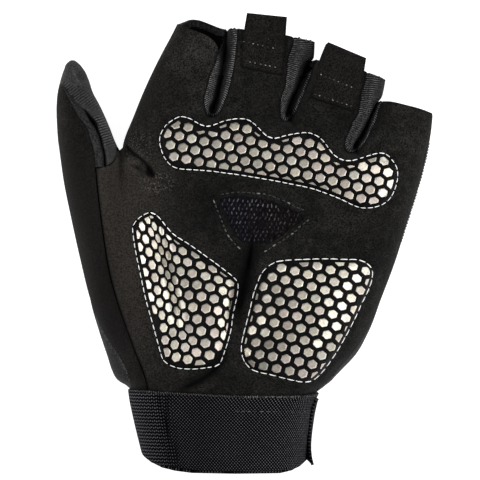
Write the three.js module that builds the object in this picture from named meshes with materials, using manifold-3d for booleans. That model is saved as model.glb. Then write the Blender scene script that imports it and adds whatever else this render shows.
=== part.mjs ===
// A padded half-finger sport glove for the left hand. It lies on its back with the palm up.
// Millimetres: +X points to the little finger's side, +Y along the fingers and +Z up from the palm.

import * as THREE from 'three';
import { mergeVertices } from 'three/addons/utils/BufferGeometryUtils.js';
import Module from 'manifold-3d';

const wasm = await Module();
wasm.setup();

// Driving dimensions

const wall = 1.5; // suede, knit and back fabric
const cuffWall = 1.8; // woven elastic
const seamGap = 0.3; // clearance between two sewn pieces
const seamHeight = 9; // where the palm side meets the back
const padThickness = 1.8;
const padLowest = 17.5; // the pads stop above the steep sides of the hand
const tabLowest = 15;
const tabThickness = 1.4;
const strapThickness = 1.4;
const backRounding = 7; // width over which the back rounds up to the side seam
const leastRounding = 1;
const widestRounding = 0.45; // share of a section's width that one rounded edge may take
const belowAll = -5;
const aboveAll = 60;

// How finely the sections are divided between their rounded edges
const palmSteps = 13;
const stallSteps = 3;
const backSteps = 2;
const cuffSteps = 8;
const curveStep = 3; // distance between points on a smooth outline

// Sections across the glove, one row each: its place along the hand, its left and right edges,
// the widths over which its palm side rounds down to them, its height and its lowest level.

const palmSections = [
  { y: -58.5, left: -38.6, right: 22.4, softLeft: 13, softRight: 13, top: 26.2, bottom: 4.4 },
  { y: -53.6, left: -39.4, right: 24.2, softLeft: 13, softRight: 13, top: 26.4, bottom: 4.4 },
  { y: -52.4, left: -42.6, right: 28.0, softLeft: 15, softRight: 15, top: 27.8, bottom: 2.2 },
  { y: -50.4, left: -45.2, right: 30.6, softLeft: 17, softRight: 17, top: 28.3, bottom: 0.8 },
  { y: -46.6, left: -47.5, right: 34.2, softLeft: 19, softRight: 19, top: 28.6, bottom: 0 },
  { y: -40.9, left: -49.7, right: 39.6, softLeft: 20, softRight: 20, top: 29.0, bottom: 0 },
  { y: -32.2, left: -52.6, right: 44.6, softLeft: 22, softRight: 21, top: 29.0, bottom: 0 },
  { y: -20.7, left: -55.8, right: 49.0, softLeft: 24, softRight: 21, top: 28.5, bottom: 0 },
  { y: -6.3, left: -57.0, right: 54.4, softLeft: 26, softRight: 20, top: 27.5, bottom: 0 },
  { y: 6.3, left: -54.5, right: 58.3, softLeft: 24, softRight: 19, top: 26.0, bottom: 0 },
  { y: 18.9, left: -50.0, right: 62.3, softLeft: 20, softRight: 18, top: 24.5, bottom: 0 },
  { y: 29.7, left: -46.2, right: 65.2, softLeft: 16, softRight: 15, top: 22.5, bottom: 0 },
  { y: 41.2, left: -42.1, right: 67.3, softLeft: 12, softRight: 12, top: 20.5, bottom: 0 },
  { y: 47.0, left: -39.8, right: 67.8, softLeft: 10, softRight: 10, top: 19.0, bottom: 0 },
];

const thumbSections = [
  { y: -38.0, left: -50.4, right: -30.6, softLeft: 9, softRight: 9, top: 18.0, bottom: 0 },
  { y: -29.3, left: -52.9, right: -32.4, softLeft: 9, softRight: 9, top: 21.0, bottom: 0 },
  { y: -20.7, left: -55.8, right: -34.2, softLeft: 10, softRight: 9, top: 23.5, bottom: 0 },
  { y: -6.3, left: -59.4, right: -37.1, softLeft: 11, softRight: 9, top: 25.5, bottom: 0 },
  { y: 8.1, left: -62.6, right: -40.0, softLeft: 11, softRight: 9, top: 26.0, bottom: 0 },
  { y: 22.5, left: -65.5, right: -43.6, softLeft: 11, softRight: 9, top: 25.5, bottom: 0 },
  { y: 33.3, left: -67.0, right: -45.4, softLeft: 10, softRight: 8, top: 24.5, bottom: 0 },
  { y: 41.2, left: -67.8, right: -48.2, softLeft: 9, softRight: 8, top: 23.0, bottom: 0 },
  { y: 49.9, left: -68.0, right: -52.6, softLeft: 8, softRight: 7, top: 20.5, bottom: 0 },
  { y: 54.2, left: -67.6, right: -54.9, softLeft: 6.3, softRight: 6.3, top: 18.5, bottom: 0 },
  { y: 58.5, left: -66.6, right: -56.3, softLeft: 5, softRight: 5, top: 16.5, bottom: 0.4 },
  { y: 62.2, left: -65.4, right: -58.0, softLeft: 3.6, softRight: 3.6, top: 14.5, bottom: 1.2 },
  { y: 65.0, left: -64.0, right: -60.4, softLeft: 1.8, softRight: 1.8, top: 12.5, bottom: 3 },
];

const indexSections = [
  { y: 22.0, left: -43.0, right: -11.8, softLeft: 9, softRight: 6, top: 19.0, bottom: 0 },
  { y: 35.0, left: -44.0, right: -12.2, softLeft: 10, softRight: 5, top: 20.0, bottom: 0 },
  { y: 46.0, left: -40.0, right: -12.6, softLeft: 10, softRight: 4.5, top: 19.2, bottom: 0 },
  { y: 54.9, left: -36.4, right: -10.4, softLeft: 9.5, softRight: 4.5, top: 18.4, bottom: 0 },
  { y: 65.7, left: -31.3, right: -7.4, softLeft: 9, softRight: 4.5, top: 17.6, bottom: 0 },
  { y: 76.5, left: -25.6, right: -6.3, softLeft: 8, softRight: 4.5, top: 17.0, bottom: 0 },
  { y: 90.0, left: -19.2, right: -4.0, softLeft: 7, softRight: 4.5, top: 16.5, bottom: 0 },
];

const middleSections = [
  { y: 22.0, left: -11.0, right: 15.2, softLeft: 6, softRight: 6, top: 19.0, bottom: 0 },
  { y: 35.0, left: -11.0, right: 15.2, softLeft: 5, softRight: 5, top: 20.0, bottom: 0 },
  { y: 46.0, left: -11.1, right: 15.4, softLeft: 4.5, softRight: 5, top: 19.2, bottom: 0 },
  { y: 56.3, left: -8.9, right: 20.2, softLeft: 4.5, softRight: 7, top: 18.2, bottom: 0 },
  { y: 65.7, left: -6.4, right: 24.2, softLeft: 4.5, softRight: 8, top: 17.4, bottom: 0 },
  { y: 76.5, left: -5.5, right: 25.2, softLeft: 4, softRight: 9, top: 17.0, bottom: 0 },
  { y: 90.0, left: -5.0, right: 25.8, softLeft: 4, softRight: 9, top: 16.5, bottom: 0 },
];

const ringSections = [
  { y: 10.0, left: 15.8, right: 38.0, softLeft: 6, softRight: 6, top: 19.0, bottom: 0 },
  { y: 32.0, left: 16.2, right: 38.4, softLeft: 5, softRight: 6, top: 21.8, bottom: 0 },
  { y: 40.0, left: 16.2, right: 42.4, softLeft: 4.5, softRight: 7, top: 20.4, bottom: 0 },
  { y: 47.0, left: 17.4, right: 46.4, softLeft: 4.5, softRight: 7.5, top: 19.0, bottom: 0 },
  { y: 55.0, left: 21.2, right: 49.0, softLeft: 4.5, softRight: 8, top: 17.8, bottom: 0 },
  { y: 64.0, left: 24.9, right: 50.7, softLeft: 4, softRight: 8, top: 17.0, bottom: 0 },
  { y: 80.0, left: 30.5, right: 52.5, softLeft: 4, softRight: 8, top: 16.5, bottom: 0 },
];

const littleSections = [
  { y: 5.0, left: 39.4, right: 57.4, softLeft: 6, softRight: 10, top: 19.0, bottom: 0 },
  { y: 20.0, left: 39.4, right: 62.4, softLeft: 5, softRight: 12, top: 21.5, bottom: 0 },
  { y: 32.0, left: 39.4, right: 65.3, softLeft: 4.5, softRight: 11, top: 20.6, bottom: 0 },
  { y: 40.0, left: 43.4, right: 67.0, softLeft: 4.5, softRight: 10, top: 19.0, bottom: 0 },
  { y: 47.0, left: 47.4, right: 67.9, softLeft: 4, softRight: 9, top: 17.6, bottom: 0 },
  { y: 58.0, left: 52.0, right: 69.0, softLeft: 4, softRight: 8, top: 16.5, bottom: 0 },
];

const cuffSections = [
  { y: -90.0, left: -34.6, right: 21.6, softLeft: 15, softRight: 15, top: 30.8, bottom: 2 },
  { y: -76.5, left: -37.2, right: 22.3, softLeft: 15, softRight: 15, top: 30.4, bottom: 2 },
  { y: -66.8, left: -39.6, right: 23.3, softLeft: 15, softRight: 15, top: 30.0, bottom: 2 },
  { y: -57.5, left: -41.6, right: 25.2, softLeft: 15, softRight: 15, top: 29.6, bottom: 2 },
  { y: -52.5, left: -42.4, right: 27.6, softLeft: 15, softRight: 15, top: 29.4, bottom: 2 },
  { y: -48.0, left: -43.4, right: 28.6, softLeft: 15, softRight: 15, top: 29.4, bottom: 2 },
];

// Mounds and hollows of the palm: centre, spread and rise.

const palmRelief = [
  { name: 'thumb muscle', x: -27, y: -18, spreadX: 13, spreadY: 20, rise: 3.5 },
  { name: 'heel muscle', x: 24, y: -27, spreadX: 11, spreadY: 16, rise: 3.5 },
  { name: 'palm hollow', x: 4, y: 2, spreadX: 17, spreadY: 12, rise: -3.5 },
  { name: 'knuckle ridge', x: 12, y: 31, spreadX: 34, spreadY: 7, rise: 1.5 },
  { name: 'upper fold', x: 1.5, y: -13, spreadX: 4.5, spreadY: 9, rise: -3.5 },
  { name: 'middle fold', x: -1.2, y: -28, spreadX: 4.5, spreadY: 9, rise: -4 },
  { name: 'lower fold', x: -5.5, y: -43, spreadX: 5, spreadY: 8, rise: -4 },
];

// Plan outlines, points in order round each piece.

// upper edge of the hand between the fingers, where the stalls begin
const handEdge = [[-75, 37], [-41.4, 42.5], [-11.9, 45.5], [15.6, 43.7], [37.8, 32.2], [75, 27]];

// edges of the stall openings, from the index finger to the little finger
const indexPalmEnd = [[-26.5, 79.5], [-24.5, 78.3], [-19.8, 76.5], [-13.7, 74], [-10.1, 71.1], [-8.4, 68.2]];
const indexBackEnd = [[-26.5, 79.5], [-22.7, 78.6], [-19.8, 80.1], [-16.2, 80.1], [-11.5, 78.3], [-6.8, 76.6]];
const otherEnds = [
  [-6.5, 77.2], [0, 76.1], [14.8, 74.3], [19.8, 72.9], [25.9, 72], [24.6, 65.9], [27, 65.7],
  [41.8, 62.8], [47.9, 60], [51.4, 59.2], [49.7, 50.3], [52.9, 50.6], [57.6, 49.5], [63, 48.1], [69, 46],
];

const gussetOutlines = {
  gusset_index_middle: [
    [-7.2, 84], [-8.5, 68.8], [-9.6, 63.9], [-12.4, 58], [-14.1, 53.5], [-15.1, 48.6], [-14.6, 45],
    [-12.9, 42.9], [-10.8, 42.9], [-9.2, 45.2], [-6.4, 51.3], [-4.3, 60.3], [-2.9, 69.3], [-1.9, 84],
  ],
  gusset_middle_ring: [
    [16.4, 84], [16.8, 71], [16, 62], [14.6, 53], [12.9, 47], [12.6, 43.6], [13.9, 41.4], [16.9, 41.2],
    [18.6, 44.2], [21.5, 51.8], [24.9, 59.2], [26.8, 66.2], [30, 84],
  ],
  gusset_ring_little: [
    [42.9, 72], [42.9, 56.7], [40.7, 47.7], [38, 41], [35.7, 35.2], [35.6, 31.8], [37, 29.6], [39.4, 29.4],
    [41.4, 32], [44.2, 36.4], [48.1, 43.4], [51.6, 51.4], [57, 72],
  ],
};

// pads, along their outer line of stitches
const padOutlines = {
  knuckle_pad: [
    [-23.4, 45.2], [-28.8, 41.6], [-30.8, 36], [-26.3, 27.7], [-18, 26.1], [-1.8, 24.3], [16.2, 21.1],
    [28.8, 17.8], [39.6, 13.1], [47.9, 13], [53.3, 17.5], [54.6, 26], [49.3, 31.6], [42.1, 30.6],
    [34.6, 29.6], [30.6, 32.6], [26.3, 38], [20.5, 39.4], [10.8, 37.4], [7.2, 38.6], [1.8, 43.4],
    [-5, 44], [-13.7, 41.7], [-18, 43],
  ],
  thenar_pad: [
    [-33.5, 10.8], [-25.9, 3.1], [-14.4, -4.7], [-4.2, -12.4], [-2.5, -16.3], [-3.6, -22.1], [-5, -30.8],
    [-7.6, -40], [-10.5, -44.3], [-18, -45.2], [-26.3, -44.2], [-29.7, -40.5], [-33.7, -26.5],
    [-37.1, -12.6], [-39.6, -0.4], [-40.2, 5], [-38, 9.6],
  ],
  heel_pad: [
    [8.6, -7.9], [13.7, -6.5], [24, -6.1], [35.8, -6.1], [42.8, -6.9], [45.8, -11], [44, -17], [39.8, -26.3],
    [33.5, -38], [27.7, -46.4], [22.3, -50.1], [15.1, -48.8], [3.8, -46.1], [-0.7, -41.7], [-0.9, -35.4],
    [0.7, -28], [3.1, -18.5], [5.6, -11.6],
  ],
};

const ventOutline = [
  [-9, 15.7], [-1.8, 16.7], [5, 16], [9, 14.9], [14.5, 12.9], [21.2, 9.2], [16.2, 4.6], [10.8, 0.5],
  [6.1, -2.7], [1.8, -3], [-1.8, -0.2], [-5, 5.9],
];

const tabOutlines = {
  middle_pull_tab: [[0.7, 82.7], [15.1, 81.2], [14.4, 69.3], [13.3, 59.9], [-1.1, 62.8], [-0.4, 75.8]],
  ring_pull_tab: [[29.9, 72.2], [43.6, 66.4], [41.8, 54.9], [38.5, 47], [23.4, 52], [27, 65]],
};

// long seam between the suede palm and the strip outside it that wraps the thumb, from the cuff up
const thumbSeam = [[-33.5, -60], [-36.2, -48], [-40, -38.7], [-45.7, -22.5], [-49, -9.2], [-51.5, 8.1],
  [-52.9, 20.7], [-53.4, 26.6]];

// mouth of the thumb stall, each edge from its lower corner to the tip
const nearRim = [[-53.6, 26.8], [-54.2, 35.1], [-56.5, 43.4], [-61.2, 48.8], [-66.8, 58.4]];
const hemEdge = [[-51.6, 26.8], [-52.5, 35.1], [-54.9, 43.8], [-59.2, 50.2], [-64.4, 59.4]];
const farLip = [[-49.9, 26.8], [-50.3, 30], [-51.9, 37.5], [-54.9, 48], [-56.6, 56]];
const lipOutside = [[-48.2, 27.1], [-46.4, 29.4], [-45.6, 32], [-45.2, 33.4], [-44.4, 40], [-47, 56]];
const tipOutside = 75;

const cuffOutline = [
  [-50, -53.3], [-42.5, -53.3], [-27, -54], [-1.8, -55.2], [22.7, -55.2], [27.7, -54.6], [35, -54.4],
  [35, -76.5], [23.6, -76.8], [22, -79.4], [18.4, -81.5], [12.6, -82.4], [-4, -82.8], [-19.8, -82.5],
  [-28.8, -81.4], [-34.2, -78.8], [-36.7, -76], [-50, -68],
];
const strapOutline = [[-14, -57.6], [34, -57.6], [34, -78.6], [22.8, -80.2], [21.6, -77.6], [-14, -77.6]];
const strapLevel = 19; // how far the strap's end comes up the side of the cuff

// Geometry helpers

// Share of the full height that a rounded side has reached at a distance in from its edge.
function rounded(distance, width) {
  const t = THREE.MathUtils.clamp(distance / width, 0, 1);
  return Math.sqrt(1 - (1 - t) ** 2);
}

function relief(x, y) {
  let height = 0;
  for (const mound of palmRelief) {
    const dx = (x - mound.x) / mound.spreadX;
    const dy = (y - mound.y) / mound.spreadY;
    height += mound.rise * Math.exp(-0.5 * (dx * dx + dy * dy));
  }
  return height;
}

// Places across one side of a section: close together over its rounded edges, even between them.
const roundedSteps = [0.05, 0.22, 0.55, 1];
function placesAcross(left, right, softLeft, softRight, flatSteps) {
  const flatLeft = left + softLeft;
  const flatRight = right - softRight;
  const places = roundedSteps.map((step) => left + step * softLeft);
  for (let i = 1; i < flatSteps; i += 1) {
    places.push(THREE.MathUtils.lerp(flatLeft, flatRight, i / flatSteps));
  }
  places.push(...roundedSteps.map((step) => right - step * softRight).reverse());
  return places;
}

// One closed ring of points round a section: its left seam, the palm side, its right seam, the back.
function sectionRing(row, inset, flatSteps, heightOf) {
  const left = row.left + inset;
  const right = row.right - inset;
  const share = (x, softLeft, softRight) => Math.min(rounded(x - left, softLeft), rounded(right - x, softRight));

  const softLeft = Math.max(row.softLeft - inset, leastRounding);
  const softRight = Math.max(row.softRight - inset, leastRounding);
  const palmSide = placesAcross(left, right, softLeft, softRight, flatSteps).map((x) => {
    const height = row.top - inset - seamHeight + heightOf(x, row.y);
    return new THREE.Vector3(x, row.y, seamHeight + height * share(x, softLeft, softRight));
  });

  const softBack = Math.min(backRounding - inset / 2, (right - left) * widestRounding);
  const backSide = placesAcross(left, right, softBack, softBack, backSteps).reverse().map((x) => {
    const depth = seamHeight - row.bottom - inset;
    return new THREE.Vector3(x, row.y, seamHeight - depth * share(x, softBack, softBack));
  });

  const seam = (x) => new THREE.Vector3(x, row.y, seamHeight);
  return [seam(left), ...palmSide, seam(right), ...backSide];
}

// A closed tube through the sections.
function loft(sections, inset, flatSteps, heightOf = () => 0) {
  const rings = sections.map((row) => sectionRing(row, inset, flatSteps, heightOf));
  const count = rings[0].length;
  const positions = [];
  const indices = [];
  for (const ring of rings) {
    for (const point of ring) {
      positions.push(point.x, point.y, point.z);
    }
  }
  for (let r = 0; r + 1 < rings.length; r += 1) {
    for (let i = 0; i < count; i += 1) {
      const a = r * count + i;
      const b = r * count + ((i + 1) % count);
      indices.push(a, b, a + count, b, b + count, a + count);
    }
  }
  const last = (rings.length - 1) * count; // the two ends are closed by fans
  for (const first of [0, last]) {
    const ring = rings[first / count];
    const middle = ring.reduce((sum, point) => sum.add(point), new THREE.Vector3()).divideScalar(count);
    const centre = positions.length / 3;
    positions.push(middle.x, middle.y, middle.z);
    for (let i = 0; i < count; i += 1) {
      const a = first + i;
      const b = first + ((i + 1) % count);
      indices.push(...(first === 0 ? [centre, b, a] : [centre, a, b]));
    }
  }
  const geometry = new THREE.BufferGeometry();
  geometry.setAttribute('position', new THREE.Float32BufferAttribute(positions, 3));
  geometry.setIndex(indices);
  return solid(geometry);
}

function solid(geometry) {
  for (const name of Object.keys(geometry.attributes)) {
    if (name !== 'position') {
      geometry.deleteAttribute(name);
    }
  }
  const merged = mergeVertices(geometry);
  return new wasm.Manifold(new wasm.Mesh({
    numProp: 3,
    vertProperties: new Float32Array(merged.attributes.position.array),
    triVerts: new Uint32Array(merged.index.array),
  }));
}

function prism(outline, low = belowAll, high = aboveAll) {
  const shape = new THREE.Shape(outline.map(([x, y]) => new THREE.Vector2(x, y)));
  const geometry = new THREE.ExtrudeGeometry(shape, { depth: high - low, bevelEnabled: false });
  geometry.translate(0, 0, low);
  return solid(geometry);
}

function slab(low, high) {
  const reach = 120;
  return prism([[-reach, -reach], [reach, -reach], [reach, reach], [-reach, reach]], low, high);
}

// The outline as one smooth closed curve with a point every few millimetres.
function smooth(outline) {
  const points = outline.map(([x, y]) => new THREE.Vector3(x, y, 0));
  const curve = new THREE.CatmullRomCurve3(points, true, 'centripetal');
  const steps = Math.round(curve.getLength() / curveStep);
  return curve.getSpacedPoints(steps).slice(0, steps).map((point) => [point.x, point.y]);
}

// The outline moved inwards by a distance.
function shrink(outline, distance) {
  const points = outline.map(([x, y]) => new THREE.Vector2(x, y));
  const side = Math.sign(THREE.ShapeUtils.area(points));
  return points.map((point, i) => {
    const before = points[(i + points.length - 1) % points.length];
    const after = points[(i + 1) % points.length];
    const inwards = (from, to) => new THREE.Vector2(from.y - to.y, to.x - from.x).normalize().multiplyScalar(side);
    const a = inwards(before, point);
    const b = inwards(point, after);
    const mitre = a.clone().add(b).divideScalar(1 + a.dot(b));
    return [point.x + mitre.x * distance, point.y + mitre.y * distance];
  });
}

// The hand form: the palm, the finger stalls and the thumb joined, moved inwards by inset.
function handForm(inset) {
  const edge = handEdge.map(([x, y]) => [x, y - inset]);
  const palmArea = prism([...edge, [75, -95], [-75, -95]]);
  const thumb = inset > 0 ? thumbSections.slice(0, -1) : thumbSections; // the hollow stops short of the tip
  let form = loft(palmSections, inset, palmSteps, relief).intersect(palmArea);
  for (const sections of [indexSections, middleSections, ringSections, littleSections, thumb]) {
    form = form.add(loft(sections, inset, stallSteps));
  }
  return form;
}

// Construction

const outerForm = handForm(0);
const innerForm = handForm(wall);
const shell = outerForm.subtract(innerForm);

const outsideLeft = [-90, 90];
const outsideRight = [90, 46];
const below = [[90, -95], [-90, -95]];
const palmSideArea = prism([outsideLeft, [-36, 90], ...indexPalmEnd, ...otherEnds, outsideRight, ...below]);
const backArea = prism([outsideLeft, [-36, 90], ...indexBackEnd, ...otherEnds, outsideRight, ...below]);
const wristEnd = prism([[-75, -58], [75, -58], [75, 95], [-75, 95]]);

const abovePalmSeam = slab(seamHeight + seamGap / 2, aboveAll);
const belowPalmSeam = slab(belowAll, seamHeight - seamGap / 2);

// the mouth of the thumb stall opens its palm side up to the tip
const reversed = (line) => [...line].reverse();
const mouthOutline = [...hemEdge, [-tipOutside, 59.4], [-tipOutside, tipOutside], [-45, tipOutside], [-47, 56],
  ...reversed(farLip)];
const mouth = prism(mouthOutline, seamHeight - seamGap / 2, aboveAll);
const trimmed = shell.subtract(mouth).intersect(wristEnd);
const palmHalf = trimmed.intersect(palmSideArea).intersect(abovePalmSeam);
const backHalf = trimmed.intersect(backArea).intersect(belowPalmSeam);

const hemOutline = [...nearRim, ...reversed(hemEdge)];
const lipOutline = [...farLip, ...reversed(lipOutside)];
const thumbOutline = [...thumbSeam, ...nearRim, [-tipOutside, 58.4], [-tipOutside, -60]];
const thumbArea = [...thumbSeam, [-51.6, 26.4], [-49.9, 26.4], ...lipOutside, [-44.4, tipOutside],
  [-tipOutside, tipOutside], [-tipOutside, -60]];
const vent = smooth(ventOutline);

const pieces = {};
let palmPanel = palmHalf.subtract(prism(vent)).subtract(prism(thumbArea));
let backPanel = backHalf.subtract(prism(lipOutline));
for (const [name, outline] of Object.entries(gussetOutlines)) {
  palmPanel = palmPanel.subtract(prism(outline));
  backPanel = backPanel.subtract(prism(outline));
  pieces[name] = trimmed.intersect(palmSideArea).intersect(prism(shrink(outline, seamGap)));
}
pieces.palm_panel = palmPanel;
pieces.back_panel = backPanel;
pieces.thumb_panel = palmHalf.intersect(prism(shrink(thumbOutline, seamGap)));
pieces.thumb_binding = palmHalf.intersect(prism(shrink(hemOutline, seamGap / 2)));
pieces.thumb_gusset = trimmed.intersect(prism(shrink(lipOutline, seamGap)));
pieces.mesh_vent = palmHalf.intersect(prism(shrink(vent, seamGap)));

// pads and pull tabs, sewn on the suede
const padBase = handForm(-seamGap);
const padLayer = handForm(-seamGap - padThickness).subtract(padBase).intersect(slab(padLowest, aboveAll));
for (const [name, outline] of Object.entries(padOutlines)) {
  pieces[name] = padLayer.intersect(prism(smooth(outline)));
}
const tabLayer = handForm(-seamGap - tabThickness).subtract(padBase).intersect(slab(tabLowest, aboveAll));
for (const [name, outline] of Object.entries(tabOutlines)) {
  pieces[name] = tabLayer.intersect(prism(outline));
}

// cuff and strap
const cuffArea = prism(cuffOutline);
const cuffHollow = loft(cuffSections, cuffWall, cuffSteps);
pieces.cuff_band = loft(cuffSections, 0, cuffSteps).intersect(cuffArea).subtract(cuffHollow);
const strapOutside = loft(cuffSections, -seamGap - strapThickness, cuffSteps);
const strapLayer = strapOutside.subtract(loft(cuffSections, -seamGap, cuffSteps));
pieces.cuff_strap = strapLayer.intersect(prism(strapOutline, belowAll, strapLevel));

// Materials

const suede = { color: 0x1c1a18, roughness: 0.95 };
const knit = { color: 0x2b2a2c, roughness: 0.85 };
const padPrint = { color: 0xb9b3a4, roughness: 0.5 };
const elastic = { color: 0x15161c, roughness: 0.8 };
const finishes = {
  palm_panel: suede,
  thumb_panel: suede,
  thumb_binding: knit,
  thumb_gusset: knit,
  back_panel: { color: 0x19191b, roughness: 0.9 },
  gusset_index_middle: knit,
  gusset_middle_ring: knit,
  gusset_ring_little: knit,
  knuckle_pad: padPrint,
  thenar_pad: padPrint,
  heel_pad: padPrint,
  mesh_vent: { color: 0x14151d, roughness: 0.9 },
  middle_pull_tab: suede,
  ring_pull_tab: suede,
  cuff_band: elastic,
  cuff_strap: elastic,
};

function meshOf(name, form) {
  const { vertProperties, triVerts } = form.getMesh();
  const geometry = new THREE.BufferGeometry();
  geometry.setAttribute('position', new THREE.BufferAttribute(new Float32Array(vertProperties), 3));
  geometry.setIndex(new THREE.BufferAttribute(new Uint32Array(triVerts), 1));
  geometry.computeVertexNormals();
  const mesh = new THREE.Mesh(geometry, new THREE.MeshStandardMaterial({ metalness: 0, ...finishes[name] }));
  mesh.name = name;
  return mesh;
}

const glove = new THREE.Group();
for (const [name, form] of Object.entries(pieces)) {
  glove.add(meshOf(name, form));
}

export default glove;
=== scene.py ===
import math
import random

import bpy
import numpy as np
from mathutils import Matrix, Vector
from mathutils.geometry import delaunay_2d_cdt


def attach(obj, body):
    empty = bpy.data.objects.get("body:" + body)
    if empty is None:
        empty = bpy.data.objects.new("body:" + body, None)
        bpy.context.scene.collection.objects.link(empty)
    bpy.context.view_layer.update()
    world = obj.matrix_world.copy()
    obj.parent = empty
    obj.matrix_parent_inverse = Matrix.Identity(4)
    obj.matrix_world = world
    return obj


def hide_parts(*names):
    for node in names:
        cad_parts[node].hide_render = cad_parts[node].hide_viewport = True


# A padded half-finger sport glove, left hand, lying on its back with the palm up.
# Sizes are in millimetres here and become metres where a mesh is made.

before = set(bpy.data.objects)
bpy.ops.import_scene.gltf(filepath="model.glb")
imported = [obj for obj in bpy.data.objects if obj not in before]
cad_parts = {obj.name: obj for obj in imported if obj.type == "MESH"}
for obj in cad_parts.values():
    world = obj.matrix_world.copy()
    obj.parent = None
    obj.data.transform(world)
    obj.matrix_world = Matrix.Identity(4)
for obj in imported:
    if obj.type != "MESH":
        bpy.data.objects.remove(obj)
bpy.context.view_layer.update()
mm = 0.001
dice = random.Random(7)
print("frame loaded,", len(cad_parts), "nodes")


# small tools

def pickOnly(piece):
    bpy.ops.object.select_all(action="DESELECT")
    piece.select_set(True)
    bpy.context.view_layer.objects.active = piece


def addModifier(piece, kind, **settings):
    pickOnly(piece)
    bpy.ops.object.modifier_add(type=kind)
    modifier = piece.modifiers[-1]
    for setting, value in settings.items():
        setattr(modifier, setting, value)
    bpy.ops.object.modifier_apply(modifier=modifier.name)


def makePiece(name, points, faces, finish, uv=None, toneAndLight=None):
    mesh = bpy.data.meshes.new(name)
    mesh.from_pydata((np.asarray(points, float) * mm).tolist(), [], [list(map(int, f)) for f in faces])
    if uv is not None:  # one pair for each corner of each face, in millimetres along the cloth
        layer = mesh.uv_layers.new(name="cloth")
        layer.data.foreach_set("uv", np.asarray(uv, float).ravel())
    # one value a point, read by the materials: colour tone, and on most pieces painted light and shade
    if toneAndLight is not None:
        attribute = mesh.attributes.new("toneAndLight", "FLOAT", "POINT")
        attribute.data.foreach_set("value", np.asarray(toneAndLight, float))
    mesh.materials.append(finish)
    mesh.update()
    piece = bpy.data.objects.new(name, mesh)
    bpy.context.scene.collection.objects.link(piece)
    mesh.polygons.foreach_set("use_smooth", [True] * len(mesh.polygons))
    return piece


def travelAlong(line):  # how far along a line each of its points is
    return np.concatenate([[0], np.cumsum(np.linalg.norm(np.diff(line, axis=0), axis=1))])


def smoothLine(points, step, closed=False):  # even points along a soft curve through the given ones
    p = np.array(points, float)
    if closed:
        p = np.vstack([p[-1:], p, p[:2]])
    else:
        p = np.vstack([2 * p[0] - p[1], p, 2 * p[-1] - p[-2]])
    t = np.linspace(0, 1, 16, endpoint=False)[:, None]
    dense = []
    for a, b, c, d in zip(p, p[1:], p[2:], p[3:]):
        curve = 2 * b + (c - a) * t + (2 * a - 5 * b + 4 * c - d) * t**2 + (3 * b - a - 3 * c + d) * t**3
        dense.append(curve / 2)
    dense = np.vstack(dense + [p[-2:-1]])
    along = travelAlong(dense)
    count = max(2, int(round(along[-1] / step)) + 1)
    places = np.linspace(0, along[-1], count)
    if closed:
        places = places[:-1]
    return np.stack([np.interp(places, along, dense[:, k]) for k in range(dense.shape[1])], axis=1)


def nearLine(points, line, closed=False):  # distance in plan to a line, and how far along it
    a = np.array(line, float)[:, :2]
    b = np.roll(a, -1, axis=0) if closed else a[1:]
    a = a if closed else a[:-1]
    lengths = np.linalg.norm(b - a, axis=1)
    starts = np.concatenate([[0], np.cumsum(lengths)[:-1]])
    points = np.asarray(points, float).reshape(-1, 2)
    best, place = np.empty(len(points)), np.empty(len(points))
    for i in range(0, len(points), 2000):
        offset = points[i:i + 2000, None, :] - a
        t = np.clip((offset * (b - a)).sum(2) / np.maximum(lengths**2, 1e-12), 0, 1)
        gap = np.linalg.norm(offset - t[:, :, None] * (b - a), axis=2)
        k = gap.argmin(1)
        rows = np.arange(len(k))
        best[i:i + 2000] = gap[rows, k]
        place[i:i + 2000] = starts[k] + t[rows, k] * lengths[k]
    return best, place


def insideLine(points, outline):
    points = np.asarray(points, float).reshape(-1, 2)
    a, b = outline, np.roll(outline, -1, axis=0)
    hit = np.zeros(len(points), bool)
    for i in range(0, len(points), 2000):
        x, y = points[i:i + 2000, 0, None], points[i:i + 2000, 1, None]
        spans = (a[:, 1] > y) != (b[:, 1] > y)
        rise = np.where(b[:, 1] == a[:, 1], 1e-9, b[:, 1] - a[:, 1])
        crossing = a[:, 0] + (y - a[:, 1]) * (b[:, 0] - a[:, 0]) / rise
        hit[i:i + 2000] = (spans & (x < crossing)).sum(1) % 2 == 1
    return hit


def smoothStep(low, high, value):
    t = np.clip((np.asarray(value, float) - low) / (high - low), 0, 1)
    return t * t * (3 - 2 * t)


def normalsAlong(line, closed=True):  # unit normals in plan, to the left of the way the line runs
    if closed:
        way = np.roll(line, -1, axis=0) - np.roll(line, 1, axis=0)
    else:
        way = np.gradient(line, axis=0)
    way = way / np.maximum(np.linalg.norm(way, axis=1)[:, None], 1e-9)
    return np.stack([-way[:, 1], way[:, 0]], axis=1)


# the hand's form: sections across it, one row each, close to the solids' own

seamHeight = 9.0  # where the palm side meets the back
sectionColumns = ("y", "left", "right", "softLeft", "softRight", "top", "bottom")

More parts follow.
